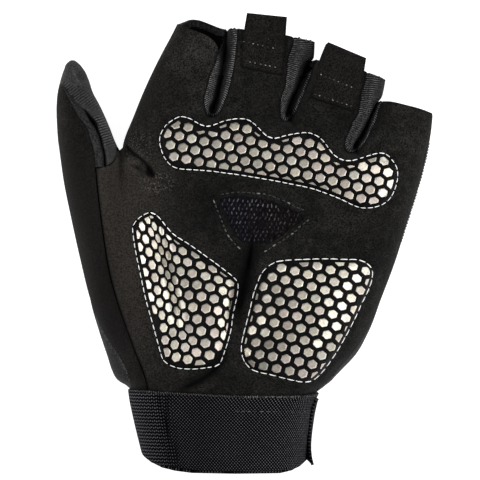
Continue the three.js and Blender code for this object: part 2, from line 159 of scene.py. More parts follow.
handForms = {
    "palm": [
        (-58.5, -39.9, 23.7, 13.6, 13.6, 28.2, 4.2), (-53.8, -40.7, 26.0, 13.6, 13.6, 28.2, 3.9),
        (-52.4, -41.9, 28.0, 15, 15, 27.9, 2.2), (-51.3, -43.2, 29.3, 16, 16, 28.1, 1.4),
        (-50.2, -45.3, 30.8, 17, 17, 28.3, 0.7), (-48.6, -46.8, 32.3, 18, 18, 28.5, 0.2),
        (-46.6, -47.8, 34.2, 19, 19, 28.6, 0), (-40.9, -49.7, 39.6, 20, 20, 29.0, 0),
        (-32.2, -52.6, 44.6, 22, 21, 29.0, 0), (-20.7, -55.8, 49.0, 24, 21, 28.5, 0),
        (-6.3, -57.0, 54.4, 26, 20, 27.5, 0), (6.3, -54.5, 58.3, 24, 19, 26.0, 0),
        (18.9, -50.0, 62.3, 20, 18, 24.5, 0), (29.7, -46.2, 65.2, 16, 15, 22.5, 0),
        (41.2, -42.1, 67.3, 12, 12, 20.5, 0), (47.0, -39.8, 67.8, 10, 10, 19.0, 0),
        (60.0, -36.0, 68.4, 10, 10, 16.0, 0),
    ],
    "thumb": [
        (-38.0, -50.4, -30.6, 9, 9, 18.0, 0), (-29.3, -52.9, -32.4, 9, 9, 21.0, 0),
        (-20.7, -55.8, -34.2, 10, 9, 23.5, 0), (-6.3, -59.4, -37.1, 11, 9, 25.5, 0),
        (8.1, -62.6, -40.0, 11, 9, 26.0, 0), (22.5, -65.5, -43.6, 11, 9, 25.5, 0),
        (33.3, -67.0, -45.5, 10, 8, 24.5, 0), (37.0, -67.5, -47.1, 9.5, 8, 24.0, 0),
        (41.2, -67.8, -48.7, 9, 8, 23.0, 0), (49.9, -68.0, -52.6, 8, 7, 20.5, 0),
        (54.2, -67.6, -54.9, 6.3, 6.3, 18.5, 0), (58.5, -66.6, -56.3, 5, 5, 16.5, 0.4),
        (62.2, -65.4, -58.0, 3.6, 3.6, 14.5, 1.2), (65.0, -64.0, -60.4, 1.8, 1.8, 12.5, 3.0),
        (66.0, -62.6, -61.8, 0.8, 0.8, 11.0, 5.0),
    ],
    "index": [
        (22.0, -43.0, -11.8, 9, 6, 19.0, 0), (35.0, -44.0, -12.2, 10, 5, 20.0, 0),
        (46.0, -40.0, -12.6, 10, 4.5, 19.2, 0), (54.9, -36.4, -10.4, 9.5, 4.5, 18.4, 0),
        (65.7, -31.3, -7.4, 9, 4.5, 17.6, 0), (76.5, -25.6, -6.3, 8, 4.5, 17.0, 0),
        (90.0, -19.2, -4.0, 7, 4.5, 16.5, 0),
    ],
    "middle": [
        (22.0, -11.0, 15.2, 6, 6, 19.0, 0), (35.0, -11.0, 15.2, 5, 5, 20.0, 0),
        (46.0, -11.1, 15.4, 4.5, 5, 19.2, 0), (56.3, -8.9, 20.2, 4.5, 7, 18.2, 0),
        (65.7, -6.4, 24.2, 4.5, 8, 17.4, 0), (76.5, -5.5, 25.2, 4, 9, 17.0, 0),
        (90.0, -5.0, 25.8, 4, 9, 16.5, 0),
    ],
    "ring": [
        (10.0, 15.8, 38.0, 6, 6, 19.0, 0), (32.0, 16.2, 38.4, 5, 6, 21.8, 0),
        (40.0, 16.2, 42.4, 4.5, 7, 20.4, 0), (47.0, 17.4, 46.4, 4.5, 7.5, 19.0, 0),
        (55.0, 21.2, 49.0, 4.5, 8, 17.8, 0), (64.0, 24.9, 50.7, 4, 8, 17.0, 0),
        (80.0, 30.5, 52.5, 4, 8, 16.5, 0),
    ],
    "little": [
        (5.0, 39.4, 57.4, 6, 10, 19.0, 0), (20.0, 39.4, 62.4, 5, 12, 21.5, 0),
        (32.0, 39.4, 65.3, 4.5, 11, 20.6, 0), (40.0, 43.4, 67.0, 4.5, 10, 19.0, 0),
        (47.0, 47.4, 67.9, 4, 9, 17.6, 0), (58.0, 52.0, 69.0, 4, 8, 16.5, 0),
    ],
}

cuffSections = [
    (-90.0, -34.6, 21.6, 15, 15, 30.8, 2), (-76.5, -37.2, 22.3, 15, 15, 30.4, 2),
    (-66.8, -39.6, 23.3, 15, 15, 30.0, 2), (-57.5, -41.6, 25.2, 15, 15, 29.6, 2),
    (-52.5, -42.4, 27.6, 15, 15, 29.4, 2), (-48.0, -43.4, 28.6, 15, 15, 29.4, 2),
]

# mounds and hollows of the palm: x, y, spread across, spread along, rise
palmRelief = {
    "thumbMuscle": (-27, -18, 13, 20, 3.5),
    "heelMuscle": (17, -27, 14, 17, 3.2),
    "palmHollow": (4, 2, 17, 12, -3.5),
    "knuckleRidge": (12, 31, 34, 7, 1.5),
    "upperFold": (1.0, -13, 4.5, 8, -3.8),
    "middleFold": (-1.2, -28, 4.5, 7, -1.6),
    "lowerFold": (-5.5, -43, 5, 8, -1.5),
}

# creases and tucks of the cloth: the line each follows, its half width and its rise
palmFolds = {
    "thenarCrease": ([(-30.8, 8.5), (-29.9, 4.1), (-28.4, -4.7), (-26.6, -13.5), (-25, -22.1), (-23.2, -32)],
                     1.7, -2.6),
    "centreValley": ([(3.0, 0), (1.9, -6), (0.6, -11), (-0.9, -17), (-2.4, -23), (-3.4, -30)], 2.3, -3.2),
    "ventCrease": ([(3.2, 1.5), (1.8, -4), (0.9, -10)], 1.1, -1.6),
    "heelTuck": ([(-6.8, -38), (-8.6, -42), (-11.3, -45.7), (-13.6, -47.7), (-16.2, -49.5), (-20.2, -51.4),
                  (-26, -55)], 1.5, -2.4),
    "heelRoll": ([(-4.5, -45), (-9, -50), (-14, -54)], 2.4, 1.2),
    "thumbRoll": ([(-44.6, 29.8), (-41.6, 25.6), (-37.6, 22.6), (-33.2, 21.6)], 1.5, 0.7),
    "indexWave": ([(-36, 44), (-28, 52), (-19, 57)], 3.2, 0.7),
    "wristWave": ([(8, -52), (16, -53), (24, -51)], 2.0, 0.6),
}

# the pocket where the thumb's root folds in: its overhanging edge and its lower edge
thumbTuck = {
    "over": [(-42.6, 35.0), (-41.2, 33.5), (-39.9, 32.2), (-38.6, 31.1), (-37.1, 29.9), (-35.9, 28.8),
             (-34.8, 27.7), (-33.8, 26.5), (-33.1, 25.3), (-32.7, 24.2), (-33.5, 23.5)],
    "under": [(-42.7, 34.6), (-43.1, 32.9), (-43.0, 30.8), (-42.1, 29.3), (-41.0, 27.9), (-40.0, 27.0),
              (-38.9, 26.5), (-37.8, 25.8), (-36.7, 25.1), (-35.6, 24.3), (-34.6, 23.7), (-33.5, 23.5)],
    "depth": 2.4,
}

# painted light and shade on the suede, where it lies lighter or darker: x, y, spread across, spread along,
# change
suedeLightPatches = {
    "indexSide": (-16, 68, 7, 9, 0.75), "indexRight": (-13, 57, 4, 8, 0.3),
    "indexFold": (-28, 54, 5, 5, -0.2), "indexRoot": (-34, 52, 7, 7, -0.12),
    "pastKnuckles": (-14.5, 15, 9, 8, -0.4), "middleFinger": (6, 52, 7, 16, -0.17),
    "ringFinger": (30, 50, 6, 12, -0.12), "ringRoot": (34, 35.5, 5, 4, 0.35),
    "ringGap": (38, 44, 4, 4, -0.5), "littleFinger": (58, 35, 6, 12, 0.32),
    "besideVent": (32, 8, 11, 8, 0.22), "valleySide": (9, -8, 3.2, 5, 0.8),
    "valleyRight": (7.5, -15, 2.5, 5, 0.5), "lowerValley": (1, -38, 4, 8, 0.3),
    "heelSide": (50, -31, 5, 14, 0.25), "thenarSide": (-48.5, -3, 2.6, 16, -0.25),
    "wristLeft": (-27, -50, 6, 5, 0.12), "wristMiddle": (-1.5, -49, 4.5, 2.2, -0.45),
    "thenarFoot": (-47, -24, 6, 10, -0.14), "underKnuckles": (-27, 22, 7, 6, -0.15),
    "ventFoot": (5.5, -2.6, 4.5, 2.6, -0.6), "palmMiddle": (2, 20, 14, 3, -0.1),
    "thumbTop": (-65.5, 49.5, 2.4, 7, 0.5), "thumbShade": (-59, 52, 3.5, 6, -0.4),
    "thumbMiddle": (-60, 24, 5, 18, -0.2), "tuckShade": (-35.5, 34, 3, 3, -0.4),
    "tuckLeft": (-42.5, 29.5, 3, 3, 0.55), "thumbLow": (-48, -30, 5, 13, -0.25),
}

ventOutline = [(-9, 15.7), (-5, 16.4), (-1.8, 16.7), (3.6, 16), (9, 14.9), (14.4, 12.8), (21.2, 9.2),
               (16.2, 4.6), (10.8, 0.7), (8.2, -0.5), (3.6, -0.6), (-0.7, 0), (-2.7, 1.8), (-5.4, 5.9),
               (-8, 12)]
ventDepth = 0.9  # the mesh lies this much lower than the suede's edge

handEdge = [(-75, 37), (-41.4, 42.5), (-11.9, 45.5), (15.6, 43.7), (37.8, 32.2),
            (75, 27)]  # where the fingers begin


ventLine = smoothLine(ventOutline, 0.8, closed=True)[::-1]
cuffTop = [(-50, -52.6), (-42.5, -52.6), (-27, -53.6), (-1.8, -55.0), (20, -55.1), (26.4, -54.0), (35, -53.4)]


def columnAlong(rows, column, y):  # one column of a table, softly between its rows
    table = np.array(rows, float)
    ys, values = table[:, 0], table[:, sectionColumns.index(column)]
    slopes = np.gradient(values, ys)
    i = np.clip(np.searchsorted(ys, y) - 1, 0, len(ys) - 2)
    span = ys[i + 1] - ys[i]
    t = np.clip((y - ys[i]) / span, 0, 1)
    start = values[i] * (1 + 2 * t) * (1 - t)**2 + slopes[i] * span * t * (1 - t)**2
    end = values[i + 1] * t**2 * (3 - 2 * t) + slopes[i + 1] * span * t**2 * (t - 1)
    return start + end


def spotShare(x, y, cx, cy, sx, sy):  # 1 in the middle of a soft spot, 0 far off
    return np.exp(-0.5 * (((x - cx) / sx)**2 + ((y - cy) / sy)**2))


def roundedShare(distance, width):  # how much of its full height a rounded side has reached
    return np.sqrt(1 - (1 - np.clip(distance / width, 0, 1))**2)


def softWaves(x, y):  # the slight unevenness of cloth with nothing inside
    return (0.28 * np.sin(x / 5.1 + 1.3 * np.sin(y / 9.0)) * np.sin(y / 6.3 + 0.8)
            + 0.12 * np.sin(x / 2.3 + y / 3.1) * np.sin(y / 2.7 - x / 4.0))


def foldFade(places, line, share):  # distances to a fold, and how it fades over that share at each end
    curve = smoothLine(line, 1.0)
    gap, place = nearLine(places, curve)
    length = np.linalg.norm(np.diff(curve, axis=0), axis=1).sum()
    return gap, np.clip(np.minimum(place, length - place) / (share * length), 0, 1)


def tuckPlaces(places, step):  # distances to the thumb tuck's two lines, and what lies between them
    over, under = smoothLine(thumbTuck["over"], step), smoothLine(thumbTuck["under"], step)
    between = insideLine(places, np.vstack([over, under[::-1]]))
    return nearLine(places, over)[0], nearLine(places, under)[0], between


def palmHeight(x, y, folds=True):
    x, y = np.broadcast_arrays(np.asarray(x, float), np.asarray(y, float))
    layers = []
    for name, rows in handForms.items():
        left, right = columnAlong(rows, "left", y), columnAlong(rows, "right", y)
        share = np.minimum(roundedShare(x - left, columnAlong(rows, "softLeft", y)),
                           roundedShare(right - x, columnAlong(rows, "softRight", y)))
        rise = columnAlong(rows, "top", y) - seamHeight
        if name == "palm":
            for cx, cy, sx, sy, height in palmRelief.values():
                held = smoothStep(-54.6, -50, y)
                rise = rise + height * held * spotShare(x, y, cx, cy, sx, sy)
        height = seamHeight + rise * share
        if name == "palm":  # it falls away between the fingers
            edge = np.interp(x, [p[0] for p in handEdge], [p[1] for p in handEdge])
            height = height - 16 * smoothStep(-2.5, 3.5, y - edge)
        outside = (x <= left) | (x >= right) | (y < rows[0][0] - 0.01) | (y > rows[-1][0])
        layers.append(np.where(outside, -60.0, height))
    blend = 0.7
    height = np.maximum(np.logaddexp.reduce(np.stack(layers) / blend, axis=0) * blend, seamHeight)
    if folds:
        free = np.clip((height - seamHeight) / 7, 0, 1)  # nothing moves at the side seams
        change = softWaves(x, y)
        flat = np.stack([x.ravel(), y.ravel()], axis=1)
        for line, width, rise in palmFolds.values():
            gap, fade = foldFade(flat, line, 0.2)
            change = change + (rise * np.exp(-(gap / width)**2) * (0.15 + 0.85 * fade)).reshape(x.shape)
        toOver, toUnder, inTuck = tuckPlaces(flat, 0.5)
        depth = thumbTuck["depth"] * (toUnder / np.maximum(toOver + toUnder, 1e-6))**0.8
        sunk = -depth * smoothStep(0, 0.35, toOver) * smoothStep(0, 1.2, toUnder)
        change = change + np.where(inTuck, sunk, 0.5 * np.exp(-(toOver / 1.2)**2)).reshape(x.shape)
        gap, _ = nearLine(flat, ventLine, closed=True)
        gap = np.where(insideLine(flat, ventLine), gap, -gap).reshape(x.shape)
        change = change * smoothStep(-54.6, -50.8, y)  # it is held flat in the cuff's seam
        height = height + change * free - ventDepth * smoothStep(-0.35, 0.55, gap)
        height = height + 0.25 * np.exp(-((gap + 0.9) / 0.7)**2)
    return height


def foldShade(plan):  # painted light and shade on the suede: 1 in the open, less in creases, in the thumb tuck and along seams, lighter or darker in listed patches
    light = np.ones(len(plan))
    for name, depth, width in (("thenarCrease", 0.35, 0.9), ("centreValley", 0.9, 2.3),
                               ("ventCrease", 0.7, 1.6),
                               ("heelTuck", 0.97, 1.55)):
        gap, fade = foldFade(plan, palmFolds[name][0], 0.25)
        light = light * (1 - depth * fade * np.exp(-(gap / width)**2))
    # painted shadow in the thumb tuck: black under its overhanging edge and at its deep end, darker along its
    # lower edge
    toOver, toUnder, inTuck = tuckPlaces(plan, 0.4)
    deep = np.maximum(np.exp(-(toOver / 0.7)**2), 0.97 * smoothStep(-35.9, -35.0, plan[:, 0]))
    lip = np.exp(-((toUnder - 0.5) / 0.5)**2) * smoothStep(-41.5, -39.5, plan[:, 0])
    within = 1.2 - 0.65 * smoothStep(29.6, 31.2, plan[:, 1])
    within = within - 0.85 * np.exp(-((plan[:, 0] + 38.7) / 1.3)**2 - ((plan[:, 1] - 26.8) / 1.3)**2)
    beyond = (1 - 0.5 * np.exp(-(toUnder / 0.4)**2)) * (1 - 0.97 * np.exp(-(toOver / 0.6)**2))
    light = light * np.where(inTuck, within * (1 - 0.99 * deep) * (1 - 0.6 * lip), beyond)
    for gap in fingerGaps.values():  # painted shadow beside the strips between the fingers
        for side, depth in (("outerLeft", 0.75), ("outerRight", 0.55)):
            away, _ = nearLine(plan, smoothLine(gap[side], 0.6))
            light = light * (1 - depth * np.exp(-(away / 0.55)**2))
    # painted shadow along the thumb seam and along the cuff's top edge
    light = light * (1 - 0.85 * np.exp(-(nearLine(plan, smoothLine(thumbSeam, 1.0))[0] / 0.4)**2))
    light = light * (1 - 0.7 * np.exp(-(nearLine(plan, smoothLine(cuffTop, 1.0))[0] / 0.8)**2))
    # then the listed patches, painted lighter or darker
    level = np.full(len(plan), 0.6)
    for cx, cy, sx, sy, change in suedeLightPatches.values():
        level = level * (1 + change * spotShare(plan[:, 0], plan[:, 1], cx, cy, sx, sy))
    return np.clip(light * level, 0, 1)


def backHeight(x, y):
    x, y = np.broadcast_arrays(np.asarray(x, float), np.asarray(y, float))
    lowest = np.full(x.shape, seamHeight)
    for rows in handForms.values():
        left, right = columnAlong(rows, "left", y), columnAlong(rows, "right", y)
        soft = np.minimum(7.0, (right - left) * 0.45)
        share = np.minimum(roundedShare(x - left, soft), roundedShare(right - x, soft))
        height = seamHeight - (seamHeight - columnAlong(rows, "bottom", y)) * share
        outside = (x <= left) | (x >= right) | (y < rows[0][0] - 0.01) | (y > rows[-1][0])
        lowest = np.minimum(lowest, np.where(outside, seamHeight, height))
    return lowest


def sideLine(form, side, low, high, step=1.5):  # the plan edge of one form, upwards
    y = np.arange(low, high + 0.01, step)
    return list(zip(columnAlong(handForms[form], side, y), y))


def leastGap(points, place):
    return np.hypot(*(points - place).T).min()


def patchPoints(outline, spacing, rows, extra=()):  # a plan outline filled with points and triangles
    outline = np.array(outline, float)
    area = np.cross(outline, np.roll(outline, -1, axis=0)).sum()
    if area < 0:
        outline = outline[::-1]
    inwards = normalsAlong(outline)
    sets = [outline]
    for distance in rows:
        moved = outline + inwards * distance
        gap, _ = nearLine(moved, outline, closed=True)
        keep = insideLine(moved, outline) & (gap > 0.9 * distance)
        sets.append(moved[keep])
    low, high = outline.min(0), outline.max(0)
    ys = np.arange(low[1], high[1], spacing * 0.87)
    grid = []
    for k, y in enumerate(ys):
        xs = np.arange(low[0] + (k % 2) * spacing / 2, high[0], spacing)
        grid.append(np.stack([xs, np.full(len(xs), y)], axis=1))
    grid = np.vstack(grid)
    grid = grid[insideLine(grid, outline)]
    gap, _ = nearLine(grid, outline, closed=True)
    last = rows[-1] if len(rows) else 0
    grid = grid[gap > last + 0.5 * spacing]
    if len(extra):  # finer points along what folds
        fine = np.vstack(extra)
        gap, _ = nearLine(fine, outline, closed=True)
        fine = fine[insideLine(fine, outline) & (gap > min(last, 1.0))]
        kept = []
        for point in fine:
            if not kept or leastGap(np.array(kept[-400:]), point) > 0.3:
                kept.append(point)
        fine = np.array(kept)
        near = np.array([leastGap(fine, point) for point in grid])
        grid = grid[near > 0.6 * spacing]
        sets = sets[:1] + [row[[leastGap(fine, point) > 0.3 for point in row]] for row in sets[1:]]
        sets.append(fine)
    sets.append(grid)
    points = np.vstack(sets)
    result = delaunay_2d_cdt([Vector(p) for p in points], [], [list(range(len(outline)))], 1, 1e-5)
    plan = np.array([tuple(v) for v in result[0]])
    faces = np.array([f for f in result[2] if len(f) == 3])
    corners = plan[faces]
    turn = np.cross(corners[:, 1] - corners[:, 0], corners[:, 2] - corners[:, 0])
    faces[turn < 0] = faces[turn < 0][:, ::-1]
    return plan, faces


def gridPiece(name, points, finish, uv=None, wrap=False, toneAndLight=None):  # points[row, column] as quads
    rows, columns = points.shape[:2]
    faces, corners = [], []
    across = columns if wrap else columns - 1
    for r in range(rows - 1):
        for c in range(across):
            d = (c + 1) % columns
            faces.append((r * columns + c, r * columns + d, (r + 1) * columns + d, (r + 1) * columns + c))
            if uv is not None:
                corners += [uv[r, c], uv[r, c + 1], uv[r + 1, c + 1], uv[r + 1, c]]
    return makePiece(name, points.reshape(-1, 3), faces, finish, corners if uv is not None else None,
                     toneAndLight=None if toneAndLight is None else toneAndLight.ravel())


def copiesAlong(name, prototype, places, finish, tonesAndLight=None):  # one mesh of many copies of a small piece
    shape = np.array([v.co[:] for v in prototype.data.vertices])
    sides = [tuple(p.vertices) for p in prototype.data.polygons]
    points, faces, toneAndLight = [], [], []
    for k, (centre, forward, up, size) in enumerate(places):
        forward = np.array(forward, float) / np.linalg.norm(forward)
        up = np.array(up, float)
        across = np.cross(up, forward)
        across /= np.linalg.norm(across)
        up = np.cross(forward, across)
        moved = shape * size
        points.append(np.array(centre) + moved[:, :1] * forward + moved[:, 1:2] * across + moved[:, 2:] * up)
        faces += [[i + k * len(shape) for i in side] for side in sides]
        toneAndLight += [tonesAndLight[k] if tonesAndLight is not None else dice.random()] * len(shape)
    return makePiece(name, np.vstack(points), faces, finish, toneAndLight=toneAndLight)


def settle(piece, slot, *nodes):
    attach(piece, "root")
    if nodes:
        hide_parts(*nodes)
    return piece


def meshArea(piece):  # one side of the cloth, in square metres
    return sum(p.area for p in piece.data.polygons)


def faceOutwards(piece, axis=2, beyond=-1.0, count=None):  # by the mean normal of the faces past a place
    faces = [p for p in piece.data.polygons[:count] if p.center[axis] > beyond]
    if np.mean([p.normal[axis] for p in faces]) < 0:
        piece.data.flip_normals()


def editAll(piece, operation, **settings):
    pickOnly(piece)
    bpy.ops.object.mode_set(mode="EDIT")
    bpy.ops.mesh.select_all(action="SELECT")
    operation(**settings)
    bpy.ops.object.mode_set(mode="OBJECT")


# materials

class Wire:  # one value in a material, with sums written as in Python
    def __init__(self, socket):
        self.socket = socket

    def node(self, kind, settings=None, values=None, output=0):
        tree = self.socket.id_data
        made = tree.nodes.new(kind)
        for setting, value in (settings or {}).items():
            if setting == "stops":
                ramp = made.color_ramp
                while len(ramp.elements) < len(value):
                    ramp.elements.new(0.5)
                for stop, (place, colour) in zip(ramp.elements, value):
                    stop.position, stop.color = place, (*colour, 1)
            else:
                setattr(made, setting, value)
        for socket, value in (values or {}).items():
            if isinstance(value, Wire):
                tree.links.new(value.socket, made.inputs[socket])
            else:
                made.inputs[socket].default_value = value
        return Wire(made.outputs[output])

    def math(self, operation, a, b=0.0):
        return self.node("ShaderNodeMath", {"operation": operation}, {0: a, 1: b})

    def __add__(self, other):
        return self.math("ADD", self, other)

    def __radd__(self, other):
        return self.math("ADD", other, self)

    def __sub__(self, other):
        return self.math("SUBTRACT", self, other)

    def __rsub__(self, other):
        return self.math("SUBTRACT", other, self)

    def __mul__(self, other):
        return self.math("MULTIPLY", self, other)

    def __rmul__(self, other):
        return self.math("MULTIPLY", other, self)

    def sine(self):
        return self.math("SINE", self)

    def atLeast(self, other):
        return self.math("MAXIMUM", self, other)

    def between(self, low, high):  # 0 below low, 1 above high
        return self.node("ShaderNodeMapRange", {"interpolation_type": "SMOOTHSTEP"},
                         {"Value": self, "From Min": low, "From Max": high})

    def mixed(self, first, second):  # colours, by this value
        return self.node("ShaderNodeMix", {"data_type": "RGBA"}, {0: self, 6: first, 7: second}, 2)

    def part(self, axis):
        return self.node("ShaderNodeSeparateXYZ", None, {0: self}, axis)

    def noise(self, scale, detail=2.0, roughness=0.5, output=0):
        return self.node("ShaderNodeTexNoise", None,
                         {"Vector": self, "Scale": scale, "Detail": detail, "Roughness": roughness}, output)

    def bump(self, distance, strength=1.0):
        return self.node("ShaderNodeBump", None, {"Height": self, "Distance": distance, "Strength": strength})


def rgb(red, green, blue):
    return (red, green, blue, 1.0)


def grey(level):
    return rgb(level, level, level)


def newFinish(name, **fixed):  # a material with its even values set on the shader itself
    finish = bpy.data.materials.new(name)
    finish.use_nodes = True
    shader = finish.node_tree.nodes["Principled BSDF"]
    for socket, value in fixed.items():
        shader.inputs[socket.replace("_", " ")].default_value = value
    finish.diffuse_color = fixed.get("Base_Color", grey(0.1))
    return finish


def feed(finish, **wires):
    shader = finish.node_tree.nodes["Principled BSDF"]
    for socket, wire in wires.items():
        finish.node_tree.links.new(wire.socket, shader.inputs[socket.replace("_", " ")])


def objectPlace(finish):
    return Wire(finish.node_tree.nodes.new("ShaderNodeTexCoord").outputs["Object"])


def clothPlace(finish):
    node = finish.node_tree.nodes.new("ShaderNodeUVMap")
    node.uv_map = "cloth"
    return Wire(node.outputs[0])


# reads the per-point value: colour tone, and on most pieces painted light and shade
def toneAndLightOf(finish):
    node = finish.node_tree.nodes.new("ShaderNodeAttribute")
    node.attribute_name = "toneAndLight"
    return Wire(node.outputs["Fac"])


def suedeFinish(name, dark, light, warm):  # short uneven nap, warmer by the thumb, painted glint specks by its root
    finish = newFinish(name, Roughness=0.95, **{"Specular IOR Level": 0.06, "Sheen Weight": 0.02,
                                               "Sheen Roughness": 0.5})
    place = objectPlace(finish)
    x, y = place.part(0), place.part(1)
    nap = place.noise(1800, 3, 0.7)
    flecks = place.noise(2300, 1).between(0.66, 0.8)
    clouds = place.noise(55, 3, 0.6)
    patches = place.noise(260, 2, 0.6)
    aboveWrist = 0.35 + 0.65 * y.between(-0.052, -0.012)
    left = (1 - x.between(-0.05, -0.014)) * (1 - y.between(0.026, 0.04) * 0.85) * aboveWrist
    ground = (clouds * 0.5 + patches * 0.5).between(0.36, 0.64).mixed(dark, light)
    ground = left.mixed(ground, warm)
    shade = nap.between(0.36, 0.64).mixed(left.mixed(grey(0.15), grey(0.5)),
                                          left.mixed(grey(1.95), grey(1.5)))
    base = place.node("ShaderNodeMix", {"data_type": "RGBA", "blend_type": "MULTIPLY"},
                      {0: 1.0, 6: ground, 7: shade}, 2)
    # two places with painted glint specks: round the end of the tuck, and by the foot of the first finger
    ring = (x + 0.0315) * (x + 0.0315) + (y - 0.0215) * (y - 0.0215) * 2.2
    glintPlaces = (1 - ring.between(0.0, 0.00006)).atLeast(
        (1 - ((x + 0.0385) * (x + 0.0385) + (y - 0.0345) * (y - 0.0345)).between(0.0, 0.00007)) * 0.7)
    glintSpecks = place.noise(1700, 1, 0.4).between(0.54, 0.66) * glintPlaces
    base = (flecks * 0.2 + glintSpecks * 0.75).mixed(base, rgb(0.15, 0.145, 0.135))
    # the per-point value darkens the suede: painted light and shade from creases, seams and patches on the
    # panels, at the sewn end and sides of the tabs
    base = toneAndLightOf(finish).mixed(rgb(0.0006, 0.0005, 0.0005), base)
    feed(finish, Base_Color=base, Normal=(nap + flecks * 0.4).bump(0.00022, 0.6))
    return finish


def knitFinish(name, dark, light, rowsEvery=None):  # ribs are in the mesh; this adds the yarn
    finish = newFinish(name, Roughness=0.8, **{"Specular IOR Level": 0.08, "Sheen Weight": 0.03})
    place = objectPlace(finish)
    yarn = place.noise(1500, 2, 0.7)
    lit = yarn.between(0.25, 0.7)
    if rowsEvery:  # slightly slanted ribs
        cloth = clothPlace(finish)
        slanted = cloth.part(0) + cloth.part(1) * 0.22
        ribs = (slanted * (2 * math.pi / rowsEvery) + math.pi / 2).sine() * 0.5 + 0.5
        lit = ribs.between(0.3, 0.95) * (0.1 + 1.35 * yarn.between(0.34, 0.66)) + 0.04
    # the per-point value darkens it: painted light and shade across the strips and down into the slots
    feed(finish, Base_Color=toneAndLightOf(finish).mixed(grey(0.001), lit.mixed(dark, light)),
         Normal=yarn.bump(0.00015, 0.6))
    return finish


suedeLook = suedeFinish("palmSuede", rgb(0.0069, 0.0067, 0.0062), rgb(0.0163, 0.0155, 0.0144),
                        rgb(0.039, 0.034, 0.029))
thumbSuedeLook = suedeFinish("thumbSuede", rgb(0.0062, 0.0056, 0.0052), rgb(0.0134, 0.0122, 0.0113),
                             rgb(0.013, 0.0115, 0.0106))
tabSuedeLook = suedeFinish("tabSuede", rgb(0.005, 0.0045, 0.0041), rgb(0.0085, 0.0076, 0.007),
                           rgb(0.0085, 0.0076, 0.007))
knitLook = knitFinish("gussetKnit", rgb(0.0015, 0.0015, 0.0018), rgb(0.17, 0.168, 0.17), rowsEvery=0.78)
thumbKnitLook = knitFinish("thumbKnit", rgb(0.016, 0.0156, 0.0156), rgb(0.105, 0.102, 0.103))

hemLook = newFinish("hemTape", Roughness=0.75, **{"Specular IOR Level": 0.12})
hemPlace = objectPlace(hemLook)
# the per-point value darkens it: painted light and shade along the hem
feed(hemLook, Base_Color=toneAndLightOf(hemLook).mixed(grey(0.001), hemPlace.noise(1400, 2).between(0.35, 0.65).mixed(
    rgb(0.004, 0.0037, 0.004), rgb(0.027, 0.0255, 0.027))),
     Normal=hemPlace.noise(1800, 2).bump(0.0001, 0.5))

# near black on the inner faces of the panels and the cuff: painted shade inside the glove
insideShadeLook = newFinish("paintedInsideShade", Base_Color=grey(0.0015), Roughness=0.9, **{"Specular IOR Level": 0.02})

backLook = newFinish("backStretchFabric", Roughness=0.85, **{"Specular IOR Level": 0.1, "Sheen Weight": 0.03})
backPlace = objectPlace(backLook)
backWeave = backPlace.node("ShaderNodeTexVoronoi", {"feature": "F1"}, {"Vector": backPlace, "Scale": 1300.0})
backYarn = backWeave.between(0.15, 0.7).mixed(rgb(0.05, 0.047, 0.047), rgb(0.009, 0.0083, 0.0083))
# the per-point value darkens it: one even level on the back panel, painted light and shade on the side strips
feed(backLook, Base_Color=toneAndLightOf(backLook).mixed(grey(0.001), backYarn),
     Normal=(1 - backWeave).bump(0.0002, 0.5))

padLook = newFinish("padBase", Roughness=0.6, **{"Specular IOR Level": 0.05})
padPlace = objectPlace(padLook)
feed(padLook, Base_Color=padPlace.noise(300, 3).between(0.3, 0.8).mixed(rgb(0.0025, 0.0022, 0.0024),
                                                                        rgb(0.006, 0.0055, 0.006)),
     Normal=padPlace.noise(1600, 2).bump(0.00012, 0.5))

ridgeLook = newFinish("padRidge", Roughness=0.5, **{"Specular IOR Level": 0.05})
ridgePlace = objectPlace(ridgeLook)
feed(ridgeLook, Base_Color=ridgePlace.noise(500, 2).between(0.3, 0.7).mixed(grey(0.0012),
                                                                            rgb(0.004, 0.005, 0.0048)))

printLook = newFinish("padPrint", **{"Specular IOR Level": 0.5})
printPlace, printTint = objectPlace(printLook), toneAndLightOf(printLook)
# the shine attribute paints reflection into the print: darker colour where it is low, brighter and less
# metallic where it is high
printShine = Wire(printLook.node_tree.nodes.new("ShaderNodeAttribute").outputs["Fac"])
printShine.socket.node.attribute_name = "shine"
printTone = printPlace.node("ShaderNodeValToRGB", {"stops": [
    (0.0, (0.68, 0.61, 0.52)), (0.2, (0.73, 0.69, 0.58)), (0.4, (0.76, 0.67, 0.61)),
    (0.6, (0.72, 0.70, 0.61)), (0.8, (0.80, 0.74, 0.60)), (1.0, (0.70, 0.61, 0.55))]}, {0: printTint})
printBlotch, printGrit = printPlace.noise(620, 3, 0.6), printPlace.noise(1700, 2, 0.7)
worn = (printBlotch * 0.5 + printGrit * 0.5).between(0.4, 0.64)
printBase = (worn * 0.5).mixed(printTone, rgb(0.36, 0.32, 0.27))
printBase = printPlace.node("ShaderNodeMix", {"data_type": "RGBA", "blend_type": "MULTIPLY",
                                              "clamp_factor": False},
                            {0: 1.0, 6: printBase, 7: printShine.mixed(grey(0.05), grey(1.15))}, 2)
printMetal = (0.62 + 0.3 * printPlace.noise(400, 2)) * (1 - printShine.between(0.55, 0.95) * 0.4)
feed(printLook, Base_Color=printBase, Metallic=printMetal, Roughness=0.34 + 0.24 * printGrit,
     Normal=(printPlace.noise(900, 3) + printGrit * 0.5).bump(0.00018, 0.6))

whiteThreadLook = newFinish("whiteThread", Roughness=0.6, **{"Specular IOR Level": 0.3})
whitePlace = objectPlace(whiteThreadLook)
feed(whiteThreadLook, Base_Color=(whitePlace.noise(2500, 2).between(0.4, 0.75) * 0.5).mixed(
    rgb(0.96, 0.96, 0.94), rgb(0.6, 0.59, 0.56)), Normal=whitePlace.noise(3500, 1).bump(0.0001, 0.5))

blackThreadLook = newFinish("blackThread", Roughness=0.35, **{"Specular IOR Level": 0.5})
